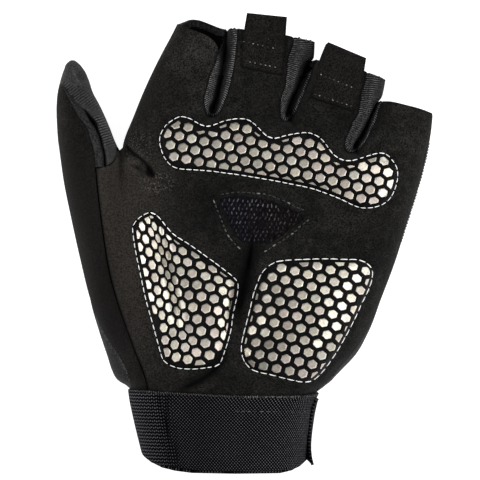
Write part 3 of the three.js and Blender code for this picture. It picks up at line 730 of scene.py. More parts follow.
# threads with a high per-point value are lighter: painted glints on the dark thread
blackThreadGlint = toneAndLightOf(blackThreadLook)
feed(blackThreadLook, Base_Color=blackThreadGlint.between(0.35, 1.0).mixed(rgb(0.008, 0.008, 0.0078),
                                                                    rgb(0.26, 0.26, 0.24)))

meshLook = newFinish("ventMesh", Roughness=0.9, **{"Specular IOR Level": 0.02})
meshPlace = objectPlace(meshLook)
meshShare = meshPlace.part(0).between(-0.006, 0.012)
# the per-point value: knit tone on the vent, and painted light on the loops
meshYarn = toneAndLightOf(meshLook) * (0.35 + 1.1 * meshPlace.noise(900, 2).between(0.25, 0.75))
meshGround = meshShare.mixed(rgb(0.0016, 0.0014, 0.003), rgb(0.002, 0.0012, 0.0013))
feed(meshLook, Base_Color=meshYarn.mixed(meshGround, rgb(0.1, 0.095, 0.105)))

# the cuff's twill: dots where two slanted waves meet, rows of loops on its left part
elasticLook = newFinish("cuffElastic", Roughness=0.85, **{"Specular IOR Level": 0.02})
twill, elasticPlace = clothPlace(elasticLook), objectPlace(elasticLook)
twillX, twillY = twill.part(0), twill.part(1)
turn = 2 * math.pi
falling = ((twillX * 0.87 + twillY * 0.8) * turn).sine() * 0.5 + 0.5
rising = ((twillX * 0.83 - twillY * 0.8) * turn).sine() * 0.5 + 0.5
loopRows = ((twillY + ((twillX * (turn / 1.9)).sine() * 0.17)) * (turn / 1.19)).sine() * 0.5 + 0.5
loopRows = loopRows * (0.35 + 0.65 * ((twillX * (turn / 0.95)).sine() * 0.5 + 0.5))
leftZone = 1 - (twillX + elasticPlace.noise(120, 1) * 5).between(-16.5, -7.0)
weave = (1 - leftZone) * (falling * 0.62 + rising * 0.38) + leftZone * (loopRows * 0.5 + 0.44)
yarnNoise = elasticPlace.noise(1100, 2, 0.7)
elasticWear = 0.75 + 0.5 * elasticPlace.noise(60, 2)
# the per-point value: painted light and shade across the cuff's front, painted shade towards the strap's end
weaveTone = weave.between(0.6, 1.0) * (0.3 + 1.3 * yarnNoise) * elasticWear * toneAndLightOf(elasticLook)
feed(elasticLook, Base_Color=weaveTone.mixed(rgb(0.0006, 0.0006, 0.001), rgb(0.12, 0.116, 0.13)),
     Normal=weave.bump(0.00025, 0.6))
print("materials made")


# prototypes of what repeats, in millimetres round the origin

def prototypeCapsule(length, width, height):
    bpy.ops.object.select_all(action="DESELECT")
    bpy.ops.mesh.primitive_uv_sphere_add(segments=8, ring_count=6, radius=1, rotation=(0, math.pi / 2, 0))
    capsule = bpy.context.object
    bpy.ops.object.transform_apply(location=True, rotation=True, scale=True)
    shape = np.array([v.co[:] for v in capsule.data.vertices])
    shape[:, 0] = np.sign(shape[:, 0]) * np.abs(shape[:, 0])**0.8 * length / 2
    shape[:, 1] *= width / 2
    shape[:, 2] *= height / 2
    capsule.data.vertices.foreach_set("co", shape.ravel())
    return capsule


stitchShape = prototypeCapsule(1.0, 0.5, 0.4)


# palm and thumb panels

panelSizes = {
    "spacing": 1.15,
    "edgeRows": (0.12, 0.45, 1.0, 1.8, 2.8, 4.0),
    "suedeThickness": 1.1,
    "backThickness": 1.2,
    "seamDip": 0.55,  # how far the cloth turns down into a seam
}

thumbSeam = [(-33.3, -58.5), (-35.8, -48), (-39.4, -38.7), (-45.2, -22.5), (-48.8, -9.2), (-51.4, 8.1),
             (-52.9, 20.7), (-53.4, 26.6)]
nearRim = [(-53.6, 27.0), (-53.9, 30.8), (-54.5, 34.1), (-55.3, 36.5), (-56.0, 38.8), (-56.8, 41.3),
           (-58.2, 43.3), (-59.8, 45.1), (-61.2, 47.8), (-62.3, 49.9), (-63.3, 51.7), (-64.7, 54.4),
           (-66.0, 56.8)]
hemEdge = [(-50.5, 27.2), (-50.8, 31.7), (-51.6, 34.7), (-52.3, 37.7), (-53.5, 40.4), (-55.0, 42.7),
           (-56.2, 44.8), (-57.1, 46.6), (-58.2, 48.4), (-60.3, 50.6), (-62.2, 52.7), (-64.2, 55.0),
           (-65.8, 57.0)]
# each strip between two fingers: its sewn edge and its rolled inner edge, down the left side and up the
# right, with the middle of the gap, upwards
fingerGaps = {
    "gussetIndexMiddle": {
        "node": "gusset_index_middle",
        "outerLeft": [(-6.9, 76.3), (-7.6, 73.0), (-8.5, 70.7), (-9.9, 67.9), (-10.3, 65.7), (-10.8, 63.9),
                      (-11.9, 61.7), (-12.5, 60.3), (-13.0, 58.5), (-13.4, 56.7), (-13.9, 54.9),
                      (-14.4, 53.1), (-14.7, 51.3), (-14.6, 49.5), (-14.3, 47.7), (-13.6, 46.2),
                      (-12.4, 45.5)],
        "outerRight": [(-12.4, 45.5), (-11.3, 45.5), (-10.1, 46.1), (-9.2, 47.0), (-8.4, 48.4),
                       (-7.7, 50.0), (-7.0, 51.7), (-6.3, 53.5), (-5.8, 55.6), (-5.1, 57.8), (-4.7, 59.9),
                       (-4.2, 62.1), (-3.9, 64.3), (-3.6, 66.4), (-3.4, 68.6), (-3.1, 71.1), (-2.9, 72.9),
                       (-2.8, 75.0), (-2.7, 76.9)],
        "innerLeft": [(-6.8, 76.2), (-7.4, 72.8), (-8.2, 70.4), (-8.9, 68.6), (-9.0, 65.7), (-9.1, 63.5),
                      (-9.5, 61.4), (-10.0, 59.6), (-10.3, 57.8), (-10.8, 55.6), (-11.2, 53.8),
                      (-11.5, 52.0), (-12.1, 50.6), (-12.8, 49.1), (-12.9, 47.7), (-12.2, 46.5)],
        "innerRight": [(-12.2, 46.5), (-11.0, 46.7), (-10.1, 47.7), (-9.6, 49.1), (-9.1, 50.6),
                       (-8.8, 52.4), (-8.4, 54.2), (-7.9, 56.3), (-7.5, 58.5), (-7.0, 60.7), (-6.6, 62.8),
                       (-6.2, 64.6), (-5.6, 66.8), (-5.4, 69.3), (-5.3, 72.9), (-5.4, 75.0), (-5.6, 77.0)],
        "middle": [(-11.7, 47.2), (-11.2, 49.1), (-10.1, 52), (-9.5, 55), (-9.0, 58), (-8.2, 61.4),
                   (-7.7, 65), (-7.3, 68.6), (-6.8, 72.6), (-6.3, 76.4)],
        "cutFrom": 68.0,  # above this the left finger's end slopes down to its back
    },
    "gussetMiddleRing": {
        "node": "gusset_middle_ring",
        "outerLeft": [(17.4, 73.7), (17.1, 71.1), (16.4, 69.3), (15.8, 67.5), (15.3, 65.7), (15.1, 63.9),
                      (15.1, 62.1), (15.0, 60.3), (14.7, 58.5), (14.6, 56.7), (14.0, 54.9), (13.4, 53.1),
                      (12.9, 51.3), (12.7, 49.5), (12.7, 47.7), (12.8, 45.9), (13.1, 44.6), (14.0, 43.7)],
        "outerRight": [(14.0, 43.7), (15.5, 43.9), (16.7, 44.8), (17.6, 46.3), (18.7, 47.7), (19.4, 49.5),
                       (20.2, 51.3), (21.1, 53.1), (21.7, 54.9), (22.3, 56.7), (23.0, 58.5), (23.6, 59.9),
                       (24.0, 61.7), (24.5, 63.5), (24.8, 65.4)],
        "innerLeft": [(25.0, 72.4), (24.8, 70.0), (24.7, 68.0), (24.0, 66.4), (21.9, 65.3), (20.4, 63.7),
                      (19.7, 62.1), (19.2, 60.5), (18.5, 58.9), (18.0, 57.1), (17.4, 55.3), (16.6, 53.5),
                      (15.8, 52.0), (15.3, 50.6), (14.8, 49.1), (14.6, 47.7), (14.4, 46.4), (14.8, 45.3)],
        "innerRight": [(14.8, 45.3), (15.5, 45.3), (16.0, 46.3), (16.4, 47.3), (16.9, 48.4), (17.8, 49.5),
                       (18.4, 50.9), (18.9, 52.4), (19.4, 53.5), (20.1, 54.9), (20.7, 56.3), (21.4, 57.8),
                       (22.0, 58.9), (22.8, 60.7), (23.2, 62.5), (23.7, 64.3), (23.9, 65.3)],
        "middle": [(15.1, 45.8), (15.4, 47.0), (15.9, 48.6), (16.7, 50.6), (17.5, 52.4), (18.4, 54.2),
                   (19.5, 56.7), (20.4, 58.9), (21.3, 61.4), (21.9, 63.0), (22.9, 64.6), (24.6, 66.2),
                   (25.0, 68.0), (25.2, 72.5)],
        "cutFrom": 99,
    },
    "gussetRingLittle": {
        "node": "gusset_ring_little",
        "outerLeft": [(44.0, 61.0), (43.4, 59.9), (43.2, 58.5), (43.0, 57.1), (42.5, 55.6), (41.9, 54.2),
                      (41.6, 52.4), (41.4, 50.9), (41.2, 49.5), (40.9, 47.7), (40.6, 46.3), (40.0, 45.0),
                      (39.1, 43.9), (38.4, 42.7), (38.0, 41.2), (37.4, 39.8), (36.7, 38.3), (36.2, 37.1),
                      (35.9, 35.8), (35.9, 34.4), (36.5, 32.9), (37.7, 32.4)],
        "outerRight": [(37.7, 32.4), (38.9, 32.4), (40.0, 32.9), (41.2, 33.7), (42.3, 35.1), (43.4, 36.5),
                       (44.2, 38.0), (44.8, 39.4), (45.5, 40.9), (46.4, 42.3), (47.0, 43.7), (47.5, 45.2),
                       (48.1, 47.0), (48.6, 48.6), (49.3, 50.7)],
        "innerLeft": [(50.5, 58.8), (50.0, 56.7), (49.5, 54.4), (49.0, 52.2), (47.7, 50.9), (46.8, 49.9),
                      (46.1, 48.4), (45.4, 47.0), (44.8, 45.5), (44.2, 44.1), (43.4, 42.7), (42.6, 41.2),
                      (41.8, 39.8), (41.0, 38.3), (40.2, 37.3), (39.4, 36.2), (38.9, 35.1), (38.8, 33.9)],
        "innerRight": [(38.8, 33.9), (40.0, 33.9), (40.9, 34.9), (41.9, 36.2), (42.8, 37.3), (43.7, 38.7),
                       (44.3, 40.1), (44.9, 41.9), (45.4, 43.4), (45.9, 44.8), (46.4, 46.3), (47.0, 47.7),
                       (47.4, 49.1), (48.0, 50.2), (48.7, 50.9)],
        "middle": [(39.3, 34.4), (39.9, 35.3), (40.9, 36.6), (41.9, 38.0), (42.9, 39.8), (43.8, 41.6),
                   (44.5, 43.4), (45.1, 45.0), (45.8, 46.6), (46.5, 48.2), (47.3, 49.8), (48.6, 51.3),
                   (49.6, 52.8), (50.3, 55.5), (50.9, 58.9)],
        "cutFrom": 99,
    },
}


def gapOutline(name, start=0):  # the sewn edge as one line, down and up again
    gap = fingerGaps[name]
    left, right = smoothLine(gap["outerLeft"][start:], 0.8), smoothLine(gap["outerRight"], 0.8)
    return left.tolist() + right.tolist()[1:]


def gapSlot(name, half=0.3):  # the narrow slot between two fingers on their back side, down and up again
    gap = fingerGaps[name]
    line = smoothLine(gap["middle"], 1.0)
    beside = normalsAlong(line, closed=False) * half
    up = line - beside
    return (line + beside)[::-1].tolist() + up[up[:, 1] < gap["outerRight"][-1][1]].tolist()


indexPalmEnd = [(-24.6, 78.5), (-22.3, 77.9), (-20.1, 76.9), (-17.2, 75.9), (-14.1, 74.6), (-11.7, 73.0),
                (-10.4, 71.5), (-9.7, 70.0)]
middleEnd = [(-2.5, 77.0), (-0.4, 76.7), (7, 75.4), (14.8, 74.6), (17.1, 74.0)]
ringEnd = [(25.0, 65.7), (27, 65.6), (35, 64.2), (41.9, 62.2), (43.8, 61.3)]
littleEnd = [(49.6, 50.9), (52.9, 50.7), (57.6, 49.6), (63, 48.2), (67.5, 46.6)]



def pastFingers(indexEnd, *gaps):  # from the index finger's end to the little one's, round each gap
    line = smoothLine(indexEnd, 0.8).tolist()
    for gap, end in zip(gaps, (middleEnd, ringEnd, littleEnd)):
        line += gap + smoothLine(end, 1.0).tolist()
    return line


# where the back fabric comes round the two sides below, upwards
littleSideSeam = [(26.0, -52.7), (28.4, -51.0), (31.0, -48.4), (32.8, -46.3), (34.2, -44.5), (36.0, -42.3),
                  (37.8, -40.1), (39.6, -38.0), (41.4, -35.5), (43.2, -32.6), (45.0, -29.8), (46.6, -27.0)]
thumbSideSeam = [(-40.6, -52.7), (-40.8, -51.4), (-41.0, -49.5), (-41.7, -46.6), (-42.8, -44.1),
                 (-44.3, -41.6), (-45.7, -39.4), (-47.5, -36.9), (-49.3, -34.0), (-51.1, -31.1),
                 (-52.6, -28.0), (-53.9, -25.5)]

palmOutline = []
palmOutline += smoothLine(thumbSeam, 1.0).tolist()
palmOutline += smoothLine([(-50.4, 27.2), (-48.6, 27.7), (-47.0, 28.9), (-46.0, 30.6), (-45.6, 32.4),
                           (-45.2, 33.3)], 0.6).tolist()
palmOutline += sideLine("index", "left", 34.2, 78.0, 1.0)
palmOutline += pastFingers(indexPalmEnd, gapOutline("gussetIndexMiddle", 3), gapOutline("gussetMiddleRing"),
                           gapOutline("gussetRingLittle"))
palmOutline += sideLine("palm", "right", -26.4, 45.6, 1.0)[::-1]
palmOutline += smoothLine(littleSideSeam, 1.0).tolist()[::-1] + sideLine("palm", "right", -58.4, -54.4,
                                                                         1.0)[::-1]
palmOutline += [(x, -58.4) for x in np.arange(22.8, -33.0, -1.0)]

thumbOutline = smoothLine([(x - 0.35, y) for x, y in thumbSeam], 1.0).tolist()
thumbOutline += smoothLine([(x - 0.2, y) for x, y in nearRim], 0.8).tolist()
thumbOutline += sideLine("thumb", "left", -20.5, 56.6, 1.0)[::-1]
thumbOutline += sideLine("palm", "left", -24.5, -21.5, 1.0)[::-1]
thumbOutline += smoothLine(thumbSideSeam, 1.0).tolist()[::-1] + sideLine("palm", "left", -58.4, -54.4,
                                                                         1.0)[::-1]
thumbOutline += [(x, -58.4) for x in np.arange(-39.0, -34.0, 1.0)]


def seamDips(plan, lines, width=0.75):
    gap = np.min([nearLine(plan, smoothLine(line, 1.0))[0] for line in lines], axis=0)
    return panelSizes["seamDip"] * np.exp(-(gap / width)**2)


def fineLines():  # lines beside each fold, so that the cloth bends there in small steps
    lines = []
    for line, width, _ in palmFolds.values():
        curve = smoothLine(line, 0.7)
        beside = normalsAlong(curve, closed=False)
        lines += [curve + beside * width * k for k in (-1.7, -1.1, -0.7, -0.35, 0, 0.35, 0.7, 1.1, 1.7)]
    for key in ("over", "under"):
        curve = smoothLine(thumbTuck[key], 0.45)
        beside = normalsAlong(curve, closed=False)
        lines += [curve + beside * k for k in (-2.2, -1.6, -1.1, -0.7, -0.35, 0, 0.35, 0.7, 1.1, 1.6, 2.2)]
    lines += [ventLine + normalsAlong(ventLine) * k for k in (-1.8, -1.3, -0.9, -0.5, -0.2, 0.1, 0.35, 0.6)]
    return lines


def clothPatch(name, outline, heightAt, finish, spacing, rows, thickness, dips=(), upwards=True, extra=(),
               strips=(), shade=None):
    plan, faces = patchPoints(outline, spacing, rows, extra)
    z = heightAt(plan[:, 0], plan[:, 1])
    if dips:
        z = z - seamDips(plan, dips)
    if not upwards:
        faces = faces[:, ::-1]
    # painted light and shade from the shade function, or one even level where there is none
    light = shade(plan) if shade else np.full(len(plan), 0.42)
    points = np.column_stack([plan, z])
    for stripLine, seam, level in strips:  # cloth that comes round the side to the palm
        stripPlan, stripFaces = patchPoints(stripLine, 0.7, (0.12, 0.3, 0.55, 0.8, 1.1))
        stripZ = palmHeight(stripPlan[:, 0], stripPlan[:, 1]) - seamDips(stripPlan, [seam])
        toSeam, _ = nearLine(stripPlan, smoothLine(seam, 0.8))
        faces = np.vstack([faces, stripFaces + len(points)])
        points = np.vstack([points, np.column_stack([stripPlan, stripZ])])
        edge = 0.75 * np.exp(-((toSeam - 0.75) / 0.4)**2)  # painted highlight on its turned edge, painted shade right at the seam
        light = np.concatenate([light, (level + edge) * (1 - 0.9 * np.exp(-(toSeam / 0.3)**2))])
    piece = makePiece(name, points, faces, finish, toneAndLight=light)
    if strips:
        editAll(piece, bpy.ops.mesh.remove_doubles, threshold=0.04 * mm)
    area = meshArea(piece)
    piece.data.materials.append(insideShadeLook)
    addModifier(piece, "SOLIDIFY", thickness=thickness * mm, offset=-1.0, material_offset=1)
    return piece, area


palmPanel, palmArea = clothPatch("palmPanel", palmOutline, palmHeight, suedeLook, panelSizes["spacing"],
                                 panelSizes["edgeRows"], panelSizes["suedeThickness"],
                                 dips=[thumbSeam, littleSideSeam],
                                 extra=fineLines(), shade=foldShade)
settle(palmPanel, "suede", "palm_panel")

thumbPanel, thumbArea = clothPatch("thumbPanel", thumbOutline, palmHeight, thumbSuedeLook,
                                   panelSizes["spacing"],
                                   panelSizes["edgeRows"], panelSizes["suedeThickness"],
                                   dips=[thumbSeam, thumbSideSeam],
                                   shade=foldShade)
settle(thumbPanel, "suede", "thumb_panel")
print("palm and thumb panels made")


# the back, one panel from the wrist to the finger ends

indexBackEnd = [(-24.6, 78.7), (-22.0, 79.8), (-20.0, 80.6), (-18.0, 80.7), (-15.8, 80.2), (-12.1, 78.8),
                (-8.8, 77.5), (-6.8, 77.0)]
backOutline = []
backOutline += sideLine("palm", "left", -58.4, -21.5, 1.0)
backOutline += sideLine("thumb", "left", -20.5, 65.8, 0.8)
backOutline += sideLine("thumb", "right", 34.5, 65.8, 0.8)[::-1] + [(-45.2, 33.3)]
backOutline += sideLine("index", "left", 34.2, 78.2, 1.0)
backOutline += pastFingers(indexBackEnd, *[gapSlot(name) for name in fingerGaps])
backOutline += sideLine("palm", "right", -58.4, 45.6,
                        1.0)[::-1] + [(x, -58.4) for x in np.arange(22.8, -39.3, -1.0)]
sideStrips = [
    (smoothLine(littleSideSeam, 1.0).tolist()[::-1] + sideLine("palm", "right", -53.4, -27.4, 1.0),
     littleSideSeam, 0.2),
    (smoothLine(thumbSideSeam, 1.0).tolist()[::-1] + sideLine("palm", "left", -53.4, -25.4, 1.0),
     thumbSideSeam, 0.36),
]

backPanel, backArea = clothPatch("backPanel", backOutline, backHeight, backLook, 1.7,
                                 (0.15, 0.6, 1.4, 2.6, 4.2),
                                 panelSizes["backThickness"], upwards=False, strips=sideStrips)
centres = np.array([polygon.center[:2] for polygon in backPanel.data.polygons]) / mm
ends = [smoothLine(line, 0.8) for line in (indexBackEnd, middleEnd, ringEnd, littleEnd)]
toEnd = np.min([nearLine(centres, line)[0] for line in ends], axis=0)
for polygon, away in zip(backPanel.data.polygons, toEnd):
    if away < 2.8:  # the hem is turned in at the finger ends
        polygon.material_index = 0
settle(backPanel, "back_fabric", "back_panel")
print("back panel made")


# ribbed gussets between the fingers

gussetSizes = {
    "ribPitch": 0.78,
    "ribRise": 0.14,
    "step": 0.13,
    "thickness": 0.7,
    # across the visible band: how far towards its inner edge, and how much over the sewn edge
    "band": [(-0.02, -0.9), (0.0, -0.3), (0.06, 0.1), (0.18, 0.3), (0.35, 0.36), (0.52, 0.28), (0.7, 0.05),
             (0.84, -0.3), (0.94, -0.75), (1.0, -1.4)],
    # then down inside: how far towards the middle of the gap, and how far down to the back
    "wall": [(0.12, 0.05), (0.28, 0.15), (0.45, 0.3), (0.6, 0.45), (0.74, 0.6), (0.86, 0.75), (0.95, 0.88),
             (1.0, 1.0)],
}


def evenly(line, count):  # the same number of points along any line
    line = smoothLine(line, 0.1)
    share = np.linspace(0, 1, len(line))
    return np.stack([np.interp(np.linspace(0, 1, count), share, line[:, k]) for k in (0, 1)], axis=1)


def makeGusset(name):
    gap = fingerGaps[name]
    halves = []
    for side in ("Left", "Right"):
        length = np.linalg.norm(np.diff(smoothLine(gap["outer" + side], 0.3), axis=0), axis=1).sum()
        count = int(length / gussetSizes["step"])
        halves.append((evenly(gap["outer" + side], count), evenly(gap["inner" + side], count)))
    outer = np.vstack([halves[0][0], halves[1][0][1:]])
    inner = np.vstack([halves[0][1], halves[1][1][1:]])
    onLeft = np.arange(len(outer)) < len(halves[0][0])
    middleLine = smoothLine(gap["middle"], 0.2)
    height = np.clip(inner[:, 1], middleLine[0, 1], middleLine[-1, 1])
    middle = np.stack([np.interp(height, middleLine[:, 1], middleLine[:, 0]), height], axis=1)
    low = backHeight(middle[:, 0], middle[:, 1]) + 0.4
    cut = np.where(onLeft, smoothStep(gap["cutFrom"], gap["cutFrom"] + 8, outer[:, 1]), 0.0)
    between = (outer + inner) / 2
    along = travelAlong(between)
    ribs = np.cos(2 * math.pi * along / gussetSizes["ribPitch"])
    width = np.linalg.norm(inner - outer, axis=1)
    sewn = palmHeight(outer[:, 0], outer[:, 1], folds=False)
    rows, toneAndLight, across = [], [], []
    for share, lift in gussetSizes["band"]:
        plan = outer + (inner - outer) * share
        z = sewn + lift - 1.3 * np.maximum(0, width - 3) * max(share, 0)**1.3
        z = np.where(share > 0, np.maximum(z, low + 1.5), z)
        z = z * (1 - cut) + (low + 0.8) * cut
        bump = gussetSizes["ribRise"] * ribs * (1 if 0.04 < share < 0.95 else 0)
        rows.append(np.column_stack([plan, z + bump]))
        # painted light across each strip: the left one darker towards the gap and above where the finger's
        # end slopes down, the right one lit along its sewn edge and darker towards the gap, both darker where
        # the strip is wide
        leftLight, rightLight = 1 - 0.8 * smoothStep(0.72, 1.05, share), 1.1 - 0.95 * smoothStep(0.3, 1.0,
                                                                                                 share)
        cutShade = smoothStep(gap["cutFrom"] + 0.5, gap["cutFrom"] - 4.5, outer[:, 1])
        lit = np.where(onLeft, leftLight, rightLight) * np.where(onLeft, cutShade, 1.0)
        tone = (0.7 + 0.3 * ribs) * lit * (1 - 0.4 * smoothStep(3.0, 6.0, width))
        # a painted shadow line at the sewn edge
        toneAndLight.append(tone * (0.35 if share < 0.02 else 1))
        across.append(width * share)
    top = rows[-1][:, 2]
    for share, drop in gussetSizes["wall"]:
        plan = inner + (middle - inner) * share
        z = top + (low - top) * drop
        rows.append(np.column_stack([plan, z]))
        # painted shade down the wall into the slot
        toneAndLight.append((0.7 + 0.3 * ribs) * (1 - smoothStep(0.0, 0.25, drop)) * 0.12)
        across.append(width + drop * 8)
    uv = np.stack([np.broadcast_to(along, (len(rows), len(along))), np.stack(across)], axis=2)
    piece = gridPiece(name, np.stack(rows), knitLook, uv=uv, toneAndLight=np.stack(toneAndLight))
    faceOutwards(piece, beyond=0.013)
    addModifier(piece, "SOLIDIFY", thickness=gussetSizes["thickness"] * mm, offset=-1.0)
    settle(piece, "ribbed_knit", gap["node"])
    length = along[-1] * mm


for gussetName in fingerGaps:
    makeGusset(gussetName)
print("finger gussets made")


# thumb opening: the turned hem on the near side, the ribbed strip on the far one

thumbSizes = {"ribPitch": 0.95, "ribRise": 0.2, "tipRibPitch": 0.92, "tipRibRise": 0.17, "slit": 0.5}
hemProfile = [(-0.12, -0.9), (-0.06, -0.25), (0.0, 0.12), (0.1, 0.32), (0.28, 0.4), (0.5, 0.3),
              (0.72, 0.06), (0.88, -0.35), (0.97, -1.0), (1.0, -1.8), (0.98, -3.2), (0.94, -5.0)]

hemCount = 140
rimPoints, hemPoints = evenly(nearRim, hemCount), evenly(hemEdge, hemCount)
hemGround = palmHeight(rimPoints[:, 0], rimPoints[:, 1])
hemTop = palmHeight(hemPoints[:, 0], hemPoints[:, 1], folds=False)
hemRows, hemLight = [], []
for share, lift in hemProfile:
    plan = rimPoints + (hemPoints - rimPoints) * share
    ground = hemGround + (hemTop - hemGround) * np.clip(share, 0, 1) * 0.6
    crinkle = 0.16 * np.sin(plan[:, 1] * 2.1) * smoothStep(33, 28, plan[:, 1]) * (0.2 < share < 0.95)
    narrow = smoothStep(0, 0.12, np.linspace(0, 1, hemCount)[::-1])
    hemRows.append(np.column_stack([plan, ground + lift * (0.3 + 0.7 * narrow) + crinkle]))
    high = smoothStep(43, 50, plan[:, 1])  # painted light on the hem: darker towards the tip, a painted highlight along the crease of its outer edge
    shade = 1 - 0.45 * high + 0.6 * high * math.exp(-((share - 0.16) / 0.1)**2)
    # painted shade along both its edges, where it turns down
    hemLight.append(shade * (1 - 0.85 * math.exp(-(share / 0.05)**2)) * (1 - 0.6 * smoothStep(0.75, 1.0,
                                                                                             share)))
thumbHem = gridPiece("thumbHem", np.stack(hemRows), hemLook, toneAndLight=np.stack(hemLight))
faceOutwards(thumbHem)
addModifier(thumbHem, "SOLIDIFY", thickness=0.5 * mm, offset=-1.0)
settle(thumbHem, "binding", "thumb_binding")

stripRows, stripColumns = 330, 56
stripY = np.linspace(27.3, 65.75, stripRows)
edgeRight = columnAlong(handForms["thumb"], "right", stripY) - 0.05
corner = [(-50.5, 27.3), (-48.8, 27.9), (-47.3, 29.2), (-46.3, 30.9), (-46.1, 32.7), (-46.3, 34.4)]
cornerX, cornerY = zip(*corner)
stripRight = np.where(stripY < cornerY[-1], np.interp(stripY, cornerY, cornerX), edgeRight)
hemSide = smoothLine(hemEdge, 0.3)
closing = smoothStep(46.2, 48.6, stripY)  # towards the tip the strip and the hem close up
wide = thumbSizes["slit"] + 1.2 * np.exp(-((stripY - 43.3) / 2.3)**2)
slitLine = np.interp(stripY, hemSide[:, 1], hemSide[:, 0]) + wide * (1 - closing) - 0.2 * closing
leftEdge = columnAlong(handForms["thumb"], "left", stripY)
blendIn = smoothStep(54.5, 56.5, stripY)
stripLeft = (slitLine - 1.5) * (1 - blendIn) + leftEdge * blendIn
share = np.linspace(0, 1, stripColumns)
stripX = stripRight[:, None] + (stripLeft - stripRight)[:, None] * share
stripYs = np.repeat(stripY[:, None], stripColumns, axis=1)
formZ = palmHeight(stripX, stripYs, folds=False)
fromSlit = stripX - slitLine[:, None]
rolled = 0.35 - 3.4 * (1 - roundedShare(np.clip(fromSlit, 0, None), 1.1))
rolled = rolled - 4.0 * smoothStep(0, -0.9, fromSlit)
nearTip = closing[:, None]
atTip = smoothStep(55.5, 58, stripYs)
sunk = (-0.45 - 1.3 * smoothStep(0.0, -1.2, fromSlit)) * nearTip * (1 - atTip)
stripZ = formZ + rolled * (1 - nearTip) + sunk - 0.25 * atTip
ridge = smoothLine([(-61.9, 62.7), (-61.4, 60.4), (-60.1, 58.3), (-59.0, 57.0)], 0.3)
flat = np.stack([stripX.ravel(), stripYs.ravel()], axis=1)
ridgeGap = nearLine(flat, ridge)[0].reshape(stripX.shape)
stripZ = stripZ + 0.45 * np.exp(-(ridgeGap / 0.38)**2)
inOval = np.exp(-(((stripX + 59.0) / 1.7)**2 + ((stripYs - 59.9) / 2.3)**2)**2)
stripZ = stripZ - 0.45 * inOval
tipWay = (stripYs - 0.75 * stripX) / 1.25 / thumbSizes["tipRibPitch"]
tipSlope = stripYs + 0.45 * (stripX + 60)
tipMask = smoothStep(56.6, 55.2, tipSlope) * smoothStep(49.8, 51.2, tipSlope)
lipWay = (stripYs - 0.36 * stripX) / 1.06 / thumbSizes["ribPitch"]
lipMask = smoothStep(46.8, 44.5, stripYs) * smoothStep(33.5, 36.5, stripYs)
inside = smoothStep(-0.3, 0.5, fromSlit) * smoothStep(0.0, 0.6, stripRight[:, None] - stripX)
tipRibs = np.cos(2 * math.pi * tipWay) * tipMask * inside
lipRibs = np.cos(2 * math.pi * lipWay) * lipMask * inside
stripZ = stripZ + thumbSizes["tipRibRise"] * tipRibs + thumbSizes["ribRise"] * lipRibs
# the per-point value: ribs in tone, with painted light and shade
stripToneAndLight = 0.42 + 0.3 * tipRibs + 0.1 * lipMask + 0.5 * lipRibs
# painted shade along its right border
stripToneAndLight = stripToneAndLight * (1 - 0.6 * np.exp(-((stripRight[:, None] - stripX) / 0.45)**2))
# lighter below the lip and at the tip, darker in the oval
lighter = 0.8 + 0.2 * smoothStep(47, 44, stripYs) + 0.15 * smoothStep(55, 58, stripYs)
stripToneAndLight = stripToneAndLight * (1 - 0.35 * inOval) * lighter
# painted highlight along the ridge
stripToneAndLight = stripToneAndLight + 0.25 * np.exp(-(ridgeGap / 0.3)**2)
for notchX, notchY in ((-64.1, 54.7), (-62.1, 52.4)):  # painted shade in the two notches where the hem's seam pulls it in
    notch = np.exp(-(((stripX - notchX) / 0.55)**2 + ((stripYs - notchY) / 0.7)**2))
    stripToneAndLight = stripToneAndLight * (1 - 0.95 * notch)
stripPoints = np.stack([stripX, stripYs, stripZ], axis=2)
thumbGusset = gridPiece("thumbGusset", stripPoints, thumbKnitLook, toneAndLight=stripToneAndLight)
faceOutwards(thumbGusset)
addModifier(thumbGusset, "SOLIDIFY", thickness=0.7 * mm, offset=-1.0)
settle(thumbGusset, "ribbed_knit", "thumb_gusset")
print("thumb opening made")


# the three pads: a crowned form inside its line of stitches, honeycomb ridges, printed hexagons

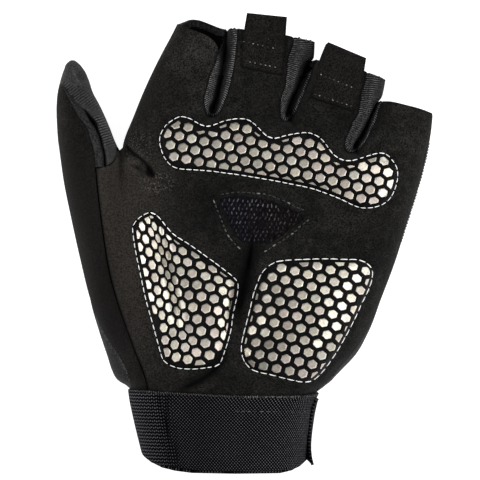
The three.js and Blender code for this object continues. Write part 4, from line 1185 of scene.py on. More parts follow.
pads = {
    "knuckle": {
        "node": "knuckle_pad",
        "outline": [(-23.4, 45.2), (-26.3, 43.7), (-28.8, 41.6), (-30.6, 37.6), (-30.2, 34), (-28.8, 30.4),
                    (-26.3, 27.5), (-23.4, 26.5), (-18, 26.1), (-12.6, 25.7), (-7.2, 25), (-1.8, 24.3),
                    (9, 22.5), (16.2, 21.1), (23.4, 19.6), (28.8, 17.8), (34.2, 15.7), (39.6, 13.1),
                    (43.2, 12.4), (47.9, 13.1), (51.5, 15.3), (53.6, 18.9), (54.7, 23.2), (54.4, 26.8),
                    (52.2, 30.4), (49.3, 32.2), (45.7, 31.5), (42.1, 30.4), (38.2, 29.3), (34.6, 29.7),
                    (31.3, 31.9), (28.8, 35.5), (26.3, 38), (22.7, 39.4), (18.7, 39.1), (14.4, 38.3),
                    (10.8, 37.3), (7.6, 38.3), (4.7, 41.2), (1.8, 43.7), (-1.8, 44.5), (-7.2, 43.7),
                    (-10.8, 42.3), (-13.7, 41.6), (-16.9, 42.7), (-19.8, 44.5)],
        "stitchEvery": 2.5, "stitchLength": 2.05,
        "first": (-1.2, 33.4), "across": (4.48, -0.99), "down": (1.28, -4.18), "bend": (0.0, -0.004),
        "reach": (-9, 15, -5, 5),
    },
    "thenar": {
        "node": "thenar_pad",
        "outline": [(-33.5, 10.8), (-30.6, 8.6), (-25.9, 3.1), (-20.5, -0.4), (-14.4, -4.7), (-7.9, -9.5),
                    (-3.6, -13), (-2.5, -15.3), (-2.9, -19.1), (-3.6, -22.1), (-4.5, -26.5), (-5, -30.8),
                    (-6.1, -35.1), (-7.6, -39.6), (-9.4, -43.9), (-12.6, -44.6), (-18, -45.2), (-23.2, -45),
                    (-26.3, -44.1), (-28.6, -42.7), (-29.7, -40.9), (-31.5, -34.4), (-33.7, -26.5),
                    (-35.5, -20), (-37.1, -12.6), (-38.5, -6.3), (-39.6, -0.4), (-40.2, 4.5), (-40, 6.3),
                    (-37.4, 9.2)],
        "stitchEvery": 2.7, "stitchLength": 2.25,
    },
    "heel": {
        "node": "heel_pad",
        "outline": [(11.5, -6.8), (13.7, -6.5), (21.1, -6.1), (29.2, -5.9), (35.8, -6.1), (41.2, -6.3),
                    (44.3, -7.9), (45.7, -10.1), (45.4, -13.7), (43.7, -18.2), (42, -21.4), (39.8, -26.3),
                    (36.9, -32), (33.5, -38), (30.6, -42.5), (27.7, -46.4), (25.4, -48.6), (23.2, -49.9),
                    (20.3, -49.9), (15.1, -48.8), (9.4, -47.3), (3.8, -46.1), (1.6, -44.8), (-0.2, -42.5),
                    (-1.3, -39.1), (-1.1, -35.8), (0, -31), (1.6, -25), (3.1, -18.5), (4.5, -14.6),
                    (5.9, -11.2), (8.3, -8.6)],
        "stitchEvery": 3.3, "stitchLength": 2.75,
        "first": (23.9, -15.7), "across": (4.72, -1.26), "down": (1.37, -4.32), "bend": (0.0, -0.045),
        "reach": (-7, 7, -5, 9), "share": 0.95, "inset": 1.05,
    },
}
padSizes = {"outside": 0.35, "rise": 1.75, "shoulder": 2.4, "belly": 0.45, "printInset": 1.25,
            "hexRadius": 1.86,
            "printRise": 0.16, "ridgeRise": 0.22, "ridgeWidth": 0.5, "spacing": 0.62}

# the thenar pad folds, so its columns are charted: for three hexagons of each, the row and the place
thenarColumns = [
    [(2, -38.8, 2.8), (4, -36.9, -6.1), (7, -33.6, -19.5)],
    [(1, -36.9, 5.8), (6, -31.3, -17.0), (11, -28.1, -39.3)],
    [(0, -35.0, 8.3), (5, -29.1, -14.2), (11, -24.6, -41.0)],
    [(-1, -33.8, 10.2), (5, -26.5, -15.8), (11, -20.5, -41.8)],
    [(-1, -31.1, 8.7), (5, -23.8, -17.8), (10, -17.4, -39.3)],
    [(0, -27.3, 2.4), (5, -20.1, -18.8), (10, -12.7, -40.3)],
    [(0, -24.1, 0.8), (4, -17.2, -15.1), (9, -9.4, -36.9)],
    [(1, -17.8, -4.3), (4, -12.5, -16.0), (8, -7.4, -33.1)],
    [(2, -11.6, -9.5), (4, -7.9, -17.2), (6, -6.0, -25.7)],
    [(2, -7.4, -11.2), (3, -5.4, -14.5), (4, -4.6, -18.2)],
]


# painted reflection on the print, how brightly it shines by place: x, y, share
printShineSpots = [
    (-25, 33, 0.45), (-12, 34, 0.4), (2, 34, 0.36), (18, 30, 0.42), (33, 24, 0.5), (44, 20, 0.7),
    (51, 24, 1.15), (-36, -2, 1.1), (-32, -20, 1.1), (-27, -38, 0.85), (-27, -6, 0.5), (-19, -14, 0.3),
    (-17, -28, 0.34), (-8, -17, 0.72), (-8, -30, 0.66), (-13, -40, 0.66), (4, -36, 0.1), (8, -22, 0.12),
    (15, -22, 0.32), (20, -12, 0.5), (20, -30, 0.7), (24, -44, 0.6), (34, -12, 0.75), (35, -24, 0.95),
    (40, -12, 0.9),
]


hexLayers = (  # size of each ring of a hexagon, its height, its painted rim highlight
    (1.0, -0.06, 0.25), (0.97, padSizes["printRise"] * 0.35, 0.3), (0.87, padSizes["printRise"], 0.2),
    (0.6, padSizes["printRise"] * 0.75, 0))
ridgeProfile = ((-1, -0.05), (-0.35, padSizes["ridgeRise"]), (0.35, padSizes["ridgeRise"]), (1, -0.05))
cornerCut = 0.08  # share of a side that each cut corner takes


def shineAt(centre):  # the levels of the listed places, the nearer the stronger
    spots = np.array(printShineSpots)
    weights = 1 / (np.linalg.norm(spots[:, :2] - centre, axis=1)**2 + 9)
    return (weights * spots[:, 2]).sum() / weights.sum()


def padDistance(points, outline):  # how far inside the line of stitches
    gap, _ = nearLine(points, outline, closed=True)
    return np.where(insideLine(points, outline), gap, -gap)


def padTop(x, y, outline):
    x, y = np.asarray(x, float), np.asarray(y, float)
    inside = padDistance(np.stack([x.ravel(), y.ravel()], axis=1), outline).reshape(x.shape) - 0.1
    shoulder = roundedShare(np.maximum(inside, 0), padSizes["shoulder"])
    belly = 1 - np.exp(-np.maximum(inside, 0) / 5)
    return palmHeight(x, y) + 0.12 + padSizes["rise"] * shoulder + padSizes["belly"] * belly


def latticeSites(pad):  # centres of the hexagons with the local steps across and down the rows
    sites = []
    if "first" in pad:
        first, across, down = (np.array(pad[k]) for k in ("first", "across", "down"))
        a0, a1, d0, d1 = pad["reach"]
        for i in range(a0, a1):
            for j in range(d0, d1):
                centre = first + i * across + j * down + i * i * np.array(pad["bend"])
                sites.append((centre, across + (2 * i) * np.array(pad["bend"]), down))
        return sites
    chart = {}
    for column, charted in enumerate(thenarColumns):
        rows, xs, ys = zip(*charted)
        alongX, alongY = np.polyfit(rows, xs, 2), np.polyfit(rows, ys, 2)
        for row in range(rows[0] - 1, rows[-1] + 2):
            chart[column, row] = np.array([np.polyval(alongX, row), np.polyval(alongY, row)])
    for (column, row), centre in chart.items():
        below, above = chart.get((column, row + 1)), chart.get((column, row - 1))
        down = (below if below is not None else centre) - (above if above is not None else centre)
        down = down / (2 if below is not None and above is not None else 1)
        right, left = chart.get((column + 1, row)), chart.get((column - 1, row))
        if right is None and left is None:
            continue
        across = (right if right is not None else centre) - (left if left is not None else centre)
        across = across / (2 if right is not None and left is not None else 1)
        sites.append((centre, across, down))
    return sites


def clipPolygon(polygon, point, normal):  # keep the side that the normal points to
    kept = []
    for a, b in zip(polygon, np.roll(polygon, -1, axis=0)):
        da, db = (a - point) @ normal, (b - point) @ normal
        if da >= 0:
            kept.append(a)
        if da * db < 0:
            kept.append(a + (b - a) * da / (da - db))
    return np.array(kept)


def hexCorners(across, down):  # corners of a cell whose sides face its six neighbours
    other = across - down
    thirds = [(across + other) / 3, (across + down) / 3, (down - other) / 3]
    return np.array(thirds + [-c for c in thirds])


def buildPrint(name, pad, outline):
    inner = outline + normalsAlong(outline) * pad.get("inset", padSizes["printInset"])
    points, faces, tonesAndLight, shines, ridgeFaces = [], [], [], [], []
    sites = latticeSites(pad)
    distances = padDistance(np.array([s[0] for s in sites]), outline)
    fullSize = padSizes["hexRadius"] / 2.6 * pad.get("share", 1.0)
    for (centre, across, down), inside in zip(sites, distances):
        if inside < -1.5:
            continue
        corners = centre + hexCorners(across, down) * fullSize
        cell = centre + hexCorners(across, down)
        for k in range(3):  # half of the thin ridge round the cell, so that neighbours share
            a, b = cell[k], cell[k + 1]
            if min(padDistance(np.array([a, b]), outline)) < 0.5:
                continue
            way = (b - a) / np.linalg.norm(b - a)
            side = np.array([-way[1], way[0]]) * padSizes["ridgeWidth"] / 2
            base = len(points)
            for t in (-0.02, 0.5, 1.02):
                p = a + (b - a) * t
                for offset, lift in ridgeProfile:
                    spot = p + side * offset
                    points.append((*spot, lift))
                    tonesAndLight.append(0.5)
                    shines.append(0.5)
            for r in range(2):
                for c in range(3):
                    i = base + r * 4 + c
                    ridgeFaces.append((i, i + 4, i + 5, i + 1))
        if inside < 3.2:  # cut along the pad's edge
            gap = np.linalg.norm(inner - centre, axis=1)
            nearest = gap.argmin()
            for k in (nearest, (nearest + 3) % len(inner), (nearest - 3) % len(inner)):
                if len(corners) < 3:
                    break
                corners = clipPolygon(corners, inner[k], normalsAlong(outline)[k])
        if len(corners) < 3:
            continue
        area = abs(np.cross(corners, np.roll(corners, -1, axis=0)).sum()) / 2
        if area < 0.8:
            continue
        middle = corners.mean(0)
        toneAndLight = dice.random()
        level = shineAt(centre) * dice.uniform(0.82, 1.18)
        ahead, behind = np.roll(corners, -1, axis=0), np.roll(corners, 1, axis=0)
        besideCorners = [corners + (beside - corners) * cornerCut for beside in (behind, ahead)]
        corners = np.stack(besideCorners, axis=1).reshape(-1, 2)
        turn = np.cross(corners, np.roll(corners, -1, axis=0)).sum()
        if turn < 0:
            corners = corners[::-1]
        base, count = len(points), len(corners)
        for scale, lift, rim in hexLayers:
            for corner in corners:
                points.append((*(middle + (corner - middle) * scale), lift))
                tonesAndLight.append(toneAndLight)
                way = (corner - middle) @ (0.5, -0.85) / 1.8  # painted highlight on the rim, brighter towards the near right
                shines.append(level + rim * (0.3 + 1.6 * way))
        points.append((*middle, padSizes["printRise"] * 0.7))
        tonesAndLight.append(toneAndLight)
        shines.append(level)
        for ring in range(3):
            for k in range(count):
                m = (k + 1) % count
                i = base + ring * count
                faces.append((i + k, i + m, i + count + m, i + count + k))
        for k in range(count):
            i = base + 3 * count
            faces.append((i + k, i + (k + 1) % count, base + 4 * count))
    points = np.array(points)
    points[:, 2] += padTop(points[:, 0], points[:, 1], outline)
    piece = makePiece(name, points, ridgeFaces + faces, printLook, toneAndLight=tonesAndLight)
    shine = piece.data.attributes.new("shine", "FLOAT", "POINT")
    shine.data.foreach_set("value", np.clip(shines, 0, 1))
    piece.data.materials.append(ridgeLook)
    for polygon in piece.data.polygons[:len(ridgeFaces)]:
        polygon.material_index = 1
    pickOnly(piece)
    bpy.ops.object.shade_smooth_by_angle(angle=math.radians(28))
    return piece


def placeAlong(line, along, distances):  # plan place or places at distances along a line
    return np.stack([np.interp(distances, along, line[:, c]) for c in (0, 1)], axis=-1)


def stitchPlaces(line, every, length, heightAt, lift, closed=True, jitter=0.06):
    line = np.array(line)
    loop = np.vstack([line, line[:1]]) if closed else line
    along = travelAlong(loop)
    count = int(round(along[-1] / every))
    places = []
    for k in range(count):
        s = (k + 0.5 + dice.uniform(-jitter, jitter)) * along[-1] / count
        ends = [placeAlong(loop, along, np.clip(s + h * length / 2, 0, along[-1])) for h in (-1, 1)]
        middle = (ends[0] + ends[1]) / 2
        z = heightAt(*np.array([*ends, middle]).T)
        way = np.array([*(ends[1] - ends[0]), z[1] - z[0]])
        places.append(((*middle, max(z[2], (z[0] + z[1]) / 2) + lift), way, (0, 0, 1),
                       (length * dice.uniform(0.9, 1.05), 1.0, 1.0)))
    return places


for padName, pad in pads.items():
    outline = smoothLine(pad["outline"], 0.7, closed=True)
    if np.cross(outline, np.roll(outline, -1, axis=0)).sum() < 0:
        outline = outline[::-1].copy()
    rim = outline - normalsAlong(outline) * padSizes["outside"]
    plan, faces = patchPoints(rim, padSizes["spacing"], (0.3, 0.55, 0.85, 1.25, 1.8, 2.5))
    top = padTop(plan[:, 0], plan[:, 1], outline)
    floorZ = palmHeight(plan[:, 0], plan[:, 1]) - 0.25
    count = len(plan)
    edges = {}
    for a, b, c in faces:
        for pair in ((a, b), (b, c), (c, a)):
            edges[pair] = True
    border = [pair for pair in edges if (pair[1], pair[0]) not in edges]
    solidFaces = [tuple(f) for f in faces] + [(c + count, b + count, a + count) for a, b, c in faces]
    solidFaces += [(b, a, a + count, b + count) for a, b in border]
    padPiece = makePiece(padName + "Pad", np.vstack([np.column_stack([plan, top]),
                                                     np.column_stack([plan, floorZ])]),
                         solidFaces, padLook)
    settle(padPiece, "pad_print", pad["node"])
    settle(buildPrint(padName + "Print", pad, outline), "pad_print")
    groundAt = lambda x, y, line=outline: padTop(x, y, line)
    stitches = copiesAlong(padName + "Stitches", stitchShape,
                           stitchPlaces(outline, pad["stitchEvery"], pad["stitchLength"], groundAt, 0.12),
                           whiteThreadLook)
    settle(stitches, "pad_print")
print("pads made")


# mesh vent: open knit under the turned edge of the suede, with dark topstitching round it

ventSizes = {"lift": 0.12, "loopAcross": 1.6, "loopDown": 1.55, "loopLength": 1.25, "loopWidth": 1.0,
             "stitchEvery": 1.9,
             "stitchLength": 1.35}

ventInner = ventLine + normalsAlong(ventLine) * 0.1
plan, faces = patchPoints(ventInner, 0.6, (0.3, 0.7))
knit = np.cos(2 * math.pi * plan[:, 0] / 1.6) * np.cos(2 * math.pi * plan[:, 1] / 1.55)
knitZ = palmHeight(plan[:, 0], plan[:, 1]) + ventSizes["lift"] + 0.06 * knit
meshVent = makePiece("meshVent", np.column_stack([plan, knitZ]), faces, meshLook, toneAndLight=0.03 + 0.03 * knit)
addModifier(meshVent, "SOLIDIFY", thickness=0.4 * mm, offset=-1.0)
settle(meshVent, "mesh", "mesh_vent")

loops, loopTonesAndLight = [], []
for row in range(-2, 16):
    for column in range(-9, 20):
        spot = np.array([column * ventSizes["loopAcross"] + (row % 2) * ventSizes["loopAcross"] / 2,
                         16.5 - row * ventSizes["loopDown"] - 0.05 * column])
        spot += (dice.uniform(-0.22, 0.22), dice.uniform(-0.22, 0.22))
        if padDistance(np.array([spot]), ventLine)[0] < 0.5:
            continue
        # painted light: loops lighter round a spot near the top of the vent, darker further off; the rest
        # differs at random
        bright = 0.34 + 0.8 * math.exp(-((spot[0] - 4) / 8)**2 - ((spot[1] - 13.5) / 5)**2)
        z = float(palmHeight(*spot)) + ventSizes["lift"] + 0.1
        loops.append(((*spot, z), (dice.uniform(-0.2, 0.9), 1.0, 0), (0, 0, 1),
                      (ventSizes["loopLength"] * dice.uniform(0.65, 1.2), ventSizes["loopWidth"], 0.7)))
        loopTonesAndLight.append(min(1.0, max(0.01, dice.gauss(0.6, 0.35) * bright)))
settle(copiesAlong("ventLoops", stitchShape, loops, meshLook, loopTonesAndLight), "mesh")

ventTop = smoothLine([(-9, 17.1), (-6.5, 17.6), (-3.8, 18), (-1.1, 18), (1.8, 17.9), (4.7, 17.6),
                      (7.6, 17.3), (10.1, 16.4), (12.6, 15.5), (15.1, 14.6), (17.3, 13.1), (21.6, 11.5)], 0.6)
ventRight = smoothLine([(23.2, 8.5), (21.6, 7), (19.8, 5.9), (17.6, 3.6), (15.5, 2.2), (13.1, 0.4),
                        (11.2, -0.5), (8.5, -2.5), (6.7, -3.4)], 0.6)
ventLeft = smoothLine([(-11.5, 15.7), (-10.1, 12.1), (-8.3, 7.7), (-6.6, 3.4), (-4.5, 0.4), (-1.5, -2.6)],
                      0.6)
topstitches = []
for line in (ventTop, ventRight, ventLeft):
    topstitches += stitchPlaces(line, ventSizes["stitchEvery"], ventSizes["stitchLength"], palmHeight, 0.05,
                                closed=False, jitter=0.12)
topstitches = [(c, w, u, (size[0] * dice.uniform(0.75, 1.1), 1.05, 1.0)) for c, w, u, size in topstitches]
# painted glints on some of the threads
settle(copiesAlong("ventTopstitches", stitchShape, topstitches, blackThreadLook,
                   [dice.choice((0.1, 0.2, 0.3, 0.42, 0.5, 0.68)) for _ in topstitches]), "mesh")
print("vent made")


# pull tabs: a strip of suede stitched to the finger, folded over beyond its end

tabSizes = {"thickness": 0.9, "loopHeight": 2.3, "overPalm": 0.35, "dotEvery": 1.7}
tabs = {  # the two sides in plan, from the sewn end to the fold, and where the finger ends
    "middlePullTab": {
        "node": "middle_pull_tab",
        "left": [(-1.1, 62.8), (-0.9, 69), (-0.4, 75.8), (0.7, 82.6)],
        "right": [(13.3, 59.9), (13.9, 65.5), (14.4, 71.3), (15.1, 81.1)],
        "fingerEnd": 0.62,
        "dotRows": [((-1.3, 72.4), (10.8, 69.8)), ((-0.6, 65.4), (11.6, 62.9))],
    },
    "ringPullTab": {
        "node": "ring_pull_tab",
        "left": [(23.4, 52), (25.4, 58.6), (27.2, 65.4), (29.9, 72.1)],
        "right": [(38.5, 47), (40.6, 51.2), (41.8, 55.4), (43.6, 66.3)],
        "fingerEnd": 0.55,
        "dotRows": [((26.6, 60.7), (38.9, 55.6)), ((24.5, 53.5), (38.9, 48.8))],
    },
}

for tabName, tab in tabs.items():
    count = 60
    sides = [smoothLine(tab[k], 0.3) for k in ("left", "right")]
    sides = [placeAlong(line, np.linspace(0, 1, len(line)), np.linspace(0, 1, count)) for line in sides]
    across = np.linspace(0, 1, 16)
    rows = []
    for k in range(count):
        t = k / (count - 1)
        flat = sides[0][k] + (sides[1][k] - sides[0][k]) * across[:, None]
        held = palmHeight(flat[:, 0], flat[:, 1]) + tabSizes["overPalm"]
        sewn = smoothStep(0.0, 0.04, t)
        held = held + 0.55 * sewn
        free = held.mean() * 0.35 + held * 0.65
        rise = smoothStep(tab["fingerEnd"] - 0.1, tab["fingerEnd"] + 0.18, t)
        z = held * (1 - rise) + (free + 0.5) * rise
        if t > tab["fingerEnd"]:
            level = np.array(rows[int(tab["fingerEnd"] * count) - 1])[:, 2]
            z = level * 0.85 + level.mean() * 0.15 + 0.6 * rise
        rows.append(np.column_stack([flat, z]))
    top = rows[-1]
    direction = (sides[0][-1] - sides[0][-8] + sides[1][-1] - sides[1][-8])
    direction = direction / np.linalg.norm(direction)
    radius = tabSizes["loopHeight"] / 2
    for angle in np.linspace(0, math.pi, 9)[1:]:
        turned = top.copy()
        turned[:, :2] += direction * radius * 0.75 * (math.sin(angle) - 1)
        turned[:, 2] -= radius * (1 - math.cos(angle))
        rows.append(turned)
    for k in range(count - 4, int(tab["fingerEnd"] * count) - 8, -1):
        row = rows[k].copy()
        row[:, 2] -= tabSizes["loopHeight"]
        rows.append(row)
    points = np.stack(rows)
    runs = np.arange(len(points))[:, None] * np.linalg.norm(sides[0][-1] - sides[0][0]) / count
    edge = np.minimum(across, 1 - across)[None, :] * 15
    # painted shade at the sewn end and along both sides
    tabShade = (1 - 0.92 * np.exp(-(runs / 0.7)**2)) * (1 - 0.5 * np.exp(-(edge / 0.5)**2))
    piece = gridPiece(tabName, points, tabSuedeLook, toneAndLight=tabShade)
    topPoints = points[:count].reshape(-1, 3)
    faceOutwards(piece, count=400)
    addModifier(piece, "SOLIDIFY", thickness=tabSizes["thickness"] * mm, offset=-1.0)
    settle(piece, "suede", tab["node"])
    dots = []
    for start, end in tab["dotRows"]:
        line = smoothLine([start, ((start[0] + end[0]) / 2, (start[1] + end[1]) / 2), end], 0.4)
        dots += stitchPlaces(line, tabSizes["dotEvery"], 1.0, palmHeight, 0.0, closed=False, jitter=0.1)
    for k, (centre, way, up, size) in enumerate(dots):
        onTab = topPoints[np.hypot(topPoints[:, 0] - centre[0], topPoints[:, 1] - centre[1]).argmin()]
        dots[k] = ((centre[0], centre[1], onTab[2] + 0.06), way, up, (0.6, 0.8, 0.9))
    # painted glints on some of the dots
    dotGlints = [dice.uniform(0.3, 0.85) for _ in dots]
    settle(copiesAlong(tabName + "Stitches", stitchShape, dots, blackThreadLook, dotGlints), "suede")
print("pull tabs made")


# cuff: an elastic ring, its front edge a little shorter than its back

cuffSizes = {"columns": 260, "rows": 56, "thickness": 1.5, "threadEvery": 0.62, "level": -66.0}
cuffLow = [(-50, -74), (-37.4, -75.2), (-36.4, -77.2), (-34.2, -79.6), (-30.8, -81.4), (-26, -82.6),
           (-19.8, -83.4), (-4, -83.7), (12.6, -83.5), (17.4, -82.4), (20.4, -80.6), (22.6, -78.6),
           (35, -77)]


# how far the front edge stays behind, from left to right
frontShorter = [(-37, 2.2), (-19, 2.2), (-12, 1.75), (14, 1.75), (18, 1.5)]


def cuffPlace(around, y):  # around runs 0 to 1 over the front from the left, then to 2 over the back
    left, right, soft, top, bottom = (columnAlong(cuffSections, k, y) for k in ("left", "right", "softLeft",
                                                                                "top", "bottom"))
    front = around <= 1
    share = np.where(front, around, 2 - around)
    x = left + (right - left) * share
    softBack = np.minimum(7.0, (right - left) * 0.45)
    up = np.minimum(roundedShare(x - left, soft), roundedShare(right - x, soft))
    down = np.minimum(roundedShare(x - left, softBack), roundedShare(right - x, softBack))
    return x, np.where(front, seamHeight + (top - seamHeight) * up, seamHeight - (seamHeight - bottom) * down)


def travelRound(x, z):
    return np.concatenate([[0], np.cumsum(np.hypot(np.diff(x), np.diff(z)))])


def bandUv(travel, points, last):  # along the band and across it, with one column more than the points
    uv = np.zeros((len(points), len(travel), 2))
    uv[:, :, 0] = travel
    uv[:, :-1, 1] = points[:, :, 1]
    uv[:, -1, 1] = points[:, last, 1]
    return uv


dense = 1 - np.cos(np.linspace(0, math.pi, 400))
dense = np.concatenate([dense / 2, 1 + dense[1:] / 2])
x, z = cuffPlace(dense, np.full(len(dense), cuffSizes["level"]))
travel = travelRound(x, z)
girth = travel[-1]
around = np.interp(np.linspace(0, girth, cuffSizes["columns"] + 1)[:-1], travel, dense)
topX, _ = cuffPlace(around, np.full(len(around), -54.0))
lowX, _ = cuffPlace(around, np.full(len(around), -78.0))
topY = np.interp(topX, *zip(*cuffTop))
shorter = np.where(around <= 1, np.interp(lowX, *zip(*frontShorter)), 0.0)
lowY = np.interp(lowX, *zip(*cuffLow)) + shorter * smoothStep(0, 0.3, 1 - np.abs(around - 0.5) * 2)
lines = []
share = np.linspace(0, 1, cuffSizes["rows"])
for v in share:
    y = topY + (lowY - topY) * v
    x, z = cuffPlace(around, y)
    lines.append(np.column_stack([x, y, z]))
cuffPoints = np.stack(lines)
closed = np.concatenate([cuffPoints[:, -3:], cuffPoints, cuffPoints[:, :3]], axis=1)
across = np.gradient(closed, axis=1)[:, 3:-3]
cuffNormal = np.stack([-across[:, :, 2], np.zeros(across.shape[:2]), across[:, :, 0]], axis=2)
cuffNormal /= np.maximum(np.linalg.norm(cuffNormal, axis=2)[:, :, None], 1e-6)
edgeRoll = -0.7 * (1 - roundedShare(share * 28, 1.0)) - 0.6 * (1 - roundedShare((1 - share) * 28, 0.9))
wave = 0.12 * np.sin(np.linspace(0, girth, cuffSizes["columns"]) / 4.7)[None, :] * np.sin(share * 9)[:, None]
cuffPoints = cuffPoints + cuffNormal * (edgeRoll[:, None] + wave)[:, :, None]
uv = bandUv(np.linspace(0, girth, cuffSizes["columns"] + 1) - girth / 4, cuffPoints, 0)
cuffLightLevels = [(-40, 1.25), (-34, 0.95), (-28, 0.68), (-22, 0.5), (-16, 0.44), (-8, 0.62), (2, 0.66),
             (12, 0.86), (20, 1.05), (26, 0.95)]  # painted light and shade on the front of the cuff, from left to right
cuffLight = np.interp(cuffPoints[:, :, 0], *zip(*cuffLightLevels))
# the back of the cuff at one even level
cuffLight = np.where(around[None, :] <= 1, cuffLight, 0.8)
cuffBand = gridPiece("cuffBand", cuffPoints, elasticLook, uv=uv, wrap=True, toneAndLight=cuffLight)
editAll(cuffBand, bpy.ops.mesh.normals_make_consistent, inside=False)
faceOutwards(cuffBand, beyond=0.02)
cuffBand.data.materials.append(insideShadeLook)
addModifier(cuffBand, "SOLIDIFY", thickness=cuffSizes["thickness"] * mm, offset=-1.0, material_offset=1)
settle(cuffBand, "elastic", "cuff_band")
print("cuff made")


def cuffHeight(x, y):
    left, right = columnAlong(cuffSections, "left", y), columnAlong(cuffSections, "right", y)
    _, z = cuffPlace(np.clip((np.asarray(x) - left) / (right - left), 0, 1), y)
    return z


edgeLine = smoothLine([(-39, -53.35), (-27, -54), (-1.8, -55.2), (22.7, -55.2), (26, -54.8)], 0.5)
overcast = []
for px, py in smoothLine(edgeLine, cuffSizes["threadEvery"]):
    z = float(cuffHeight(px, py)) - 0.1
    overcast.append(((px, py + dice.uniform(-0.1, 0.1), z), (0.35, 1, 0), (0, 0, 1), (0.95, 0.6, 0.7)))
# how light each thread is: lighter towards the right and at random, the lighter ones painted glints
overcastGlints = []
for centre, *_ in overcast:
    tone = 0.22 + 0.24 * smoothStep(-15, 5, centre[0]) + dice.uniform(-0.2, 0.22)
    overcastGlints.append(float(np.clip(tone, 0, 1)))
settle(copiesAlong("cuffOvercast", stitchShape, overcast, blackThreadLook, overcastGlints), "elastic")
seamLine = smoothLine([(-4, -60.4), (10, -60.6), (22.5, -60.8)], 0.5)
seamRow = stitchPlaces(seamLine, 2.3, 1.4, cuffHeight, 0.02, closed=False)
seamRow = [(c, w, u, (size[0], 0.55, 0.5)) for c, w, u, size in seamRow]
# painted glints on some of the stitches
seamGlints = [dice.uniform(0.3, 0.6) for _ in seamRow]
settle(copiesAlong("cuffSeamStitches", stitchShape, seamRow, blackThreadLook, seamGlints), "elastic")


# the end of the closing strap, round the right side of the cuff

strapSizes = {"away": 0.35, "thickness": 0.95, "endLevel": 14.5, "backEnd": -14, "low": -78.4, "high": -56.4,
              "flare": 2.2, "rows": 30, "columns": 90}
path = np.concatenate([np.linspace(1.0, 1.999, 600)[::-1],
                       np.linspace(1.0, 0.6, 400)[1:]])  # back, then front
x, z = cuffPlace(path, np.full(len(path), cuffSizes["level"]))
keep = np.where(path >= 1, x > strapSizes["backEnd"], z < strapSizes["endLevel"])
travel = travelRound(x[keep], z[keep])
steps = np.linspace(0, travel[-1], strapSizes["columns"])
path = np.interp(steps, travel, path[keep])
strapRows = []
for v in np.linspace(0, 1, strapSizes["rows"]):
    y = strapSizes["high"] + (strapSizes["low"] - strapSizes["high"]) * v
    y = y - 1.6 * smoothStep(0.8, 1.0, steps / travel[-1]) * v**3
    x, z = cuffPlace(path, y)
    along = np.stack([np.gradient(x), np.gradient(z)], axis=1)
    along /= np.linalg.norm(along, axis=1)[:, None]
    outwards = np.stack([along[:, 1], -along[:, 0]], axis=1)
    end = smoothStep(0.82, 1.0, steps / travel[-1])
    away = strapSizes["away"] * (1 - 0.85 * end) * (1 - 0.9 * smoothStep(0.16, 0,
                                                                         v)) + strapSizes["thickness"]
    away = away + end * strapSizes["flare"] * v**5
    strapRows.append(np.column_stack([x + outwards[:, 0] * away, y, z + outwards[:, 1] * away]))
strapPoints = np.stack(strapRows)
strapUv = bandUv(np.append(steps, steps[-1]), strapPoints, -1)
# painted shade towards the strap's end, stronger towards the cuff's open end
darker = 0.3 + 0.35 * np.linspace(0, 1, strapSizes["rows"])[:, None]
strapShade = 0.9 - darker * smoothStep(0.7, 0.85, steps / travel[-1])[None, :]
cuffStrap = gridPiece("cuffStrap", strapPoints, elasticLook, uv=strapUv, toneAndLight=strapShade)
faceOutwards(cuffStrap, axis=0, beyond=0.023)
addModifier(cuffStrap, "SOLIDIFY", thickness=strapSizes["thickness"] * mm, offset=-1.0)
settle(cuffStrap, "elastic", "cuff_strap")
print("strap made")


# overlocked edge down the right side

overlock = []
for y in np.arange(0.5, 36.5, 1.1):
    x = float(columnAlong(handForms["palm"], "right", y))
    spot = (x - 0.42, y + dice.uniform(-0.1, 0.1), 10.0)
    way = (1, -0.25 + dice.uniform(-0.1, 0.1), -0.2)
    overlock.append((spot, way, (0, 0, 1), (1.35 + dice.uniform(-0.15, 0.15), 2.1, 3.0)))
settle(copiesAlong("sideOverlock", stitchShape, overlock, blackThreadLook, [0.1] * len(overlock)),
       "back_fabric")
gussetEnds = [(-5.0, 77.1), (-3.9, 77.1), (19.4, 73.7), (22.0, 73.0), (23.5, 72.8), (44.6, 60.9),
              (46.4, 60.3), (48.2, 59.7)]
bumps = []
for x, y in gussetEnds:
    z = float(palmHeight(x, y - 1.0, folds=False)) - 0.6
    bumps.append(((x, y - 0.35, z), (0.4, 1, 0), (0, 0, 1), (1.3 + dice.uniform(-0.2, 0.2), 1.9, 1.6)))
settle(copiesAlong("gussetOverlock", stitchShape, bumps, blackThreadLook, [0.3] * len(bumps)), "ribbed_knit")
print("stitching made")


# look round the object

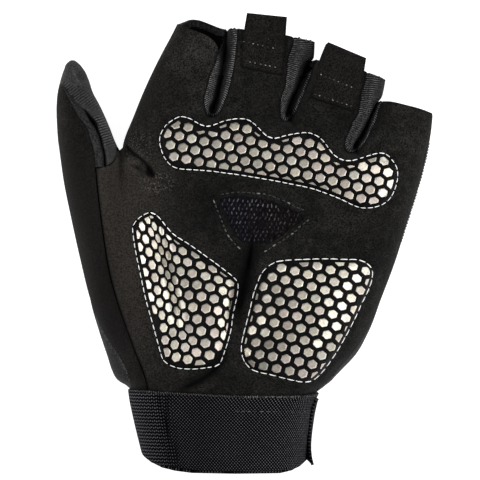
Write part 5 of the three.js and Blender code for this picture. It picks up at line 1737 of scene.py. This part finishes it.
floorLook = newFinish("paleFloor", Base_Color=grey(0.5), Roughness=0.9,
                      **{"Specular IOR Level": 0.1, "Emission Color": grey(1), "Emission Strength": 0.88})
bpy.ops.object.select_all(action="DESELECT")
bpy.ops.mesh.primitive_plane_add(size=6, location=(0, 0, -0.0003))
floor = bpy.context.object
floor.name = "floor"
bpy.ops.object.transform_apply(location=True, rotation=True, scale=True)
floor.data.materials.append(floorLook)
bpy.data.objects.remove(stitchShape)

studio = {
    "worldLight": 0.28,
    "lights": {  # place in metres, size, power in watts
        "leftBox": ((-0.85, 0.2, 0.75), 0.8, 10.5),
        "rightBox": ((0.9, 0.0, 0.75), 0.8, 11.5),
        "topBox": ((0.0, 0.9, 1.1), 0.8, 3.2),
        "nearBox": ((0.1, -0.9, 0.9), 0.8, 1.8),
    },
}
world = bpy.data.worlds.new("studio")
bpy.context.scene.world = world
world.use_nodes = True
world.node_tree.nodes["Background"].inputs["Color"].default_value = grey(1)
world.node_tree.nodes["Background"].inputs["Strength"].default_value = studio["worldLight"]
for lightName, (spot, size, power) in studio["lights"].items():
    light = bpy.data.lights.new(lightName, "AREA")
    light.shape, light.size, light.energy = "SQUARE", size, power
    lamp = bpy.data.objects.new(lightName, light)
    lamp.location = spot
    lamp.rotation_mode = "QUATERNION"
    lamp.rotation_quaternion = (Vector((0, 0, 0.01)) - Vector(spot)).to_track_quat("-Z", "Y")
    bpy.context.scene.collection.objects.link(lamp)

cameraSizes = {"centre": (-1.8, 0.9), "level": 15.0, "distance": 2600.0, "frameWidth": 172.8}
camera = bpy.data.objects.new("camera", bpy.data.cameras.new("camera"))
camera.location = (cameraSizes["centre"][0] * mm, cameraSizes["centre"][1] * mm,
                   (cameraSizes["level"] + cameraSizes["distance"]) * mm)
camera.data.sensor_width = 36
camera.data.lens = 36 * cameraSizes["distance"] / cameraSizes["frameWidth"]
camera.data.clip_start, camera.data.clip_end = 0.1, 20
bpy.context.scene.collection.objects.link(camera)
bpy.context.scene.camera = camera
bpy.context.scene.view_settings.view_transform = "Standard"
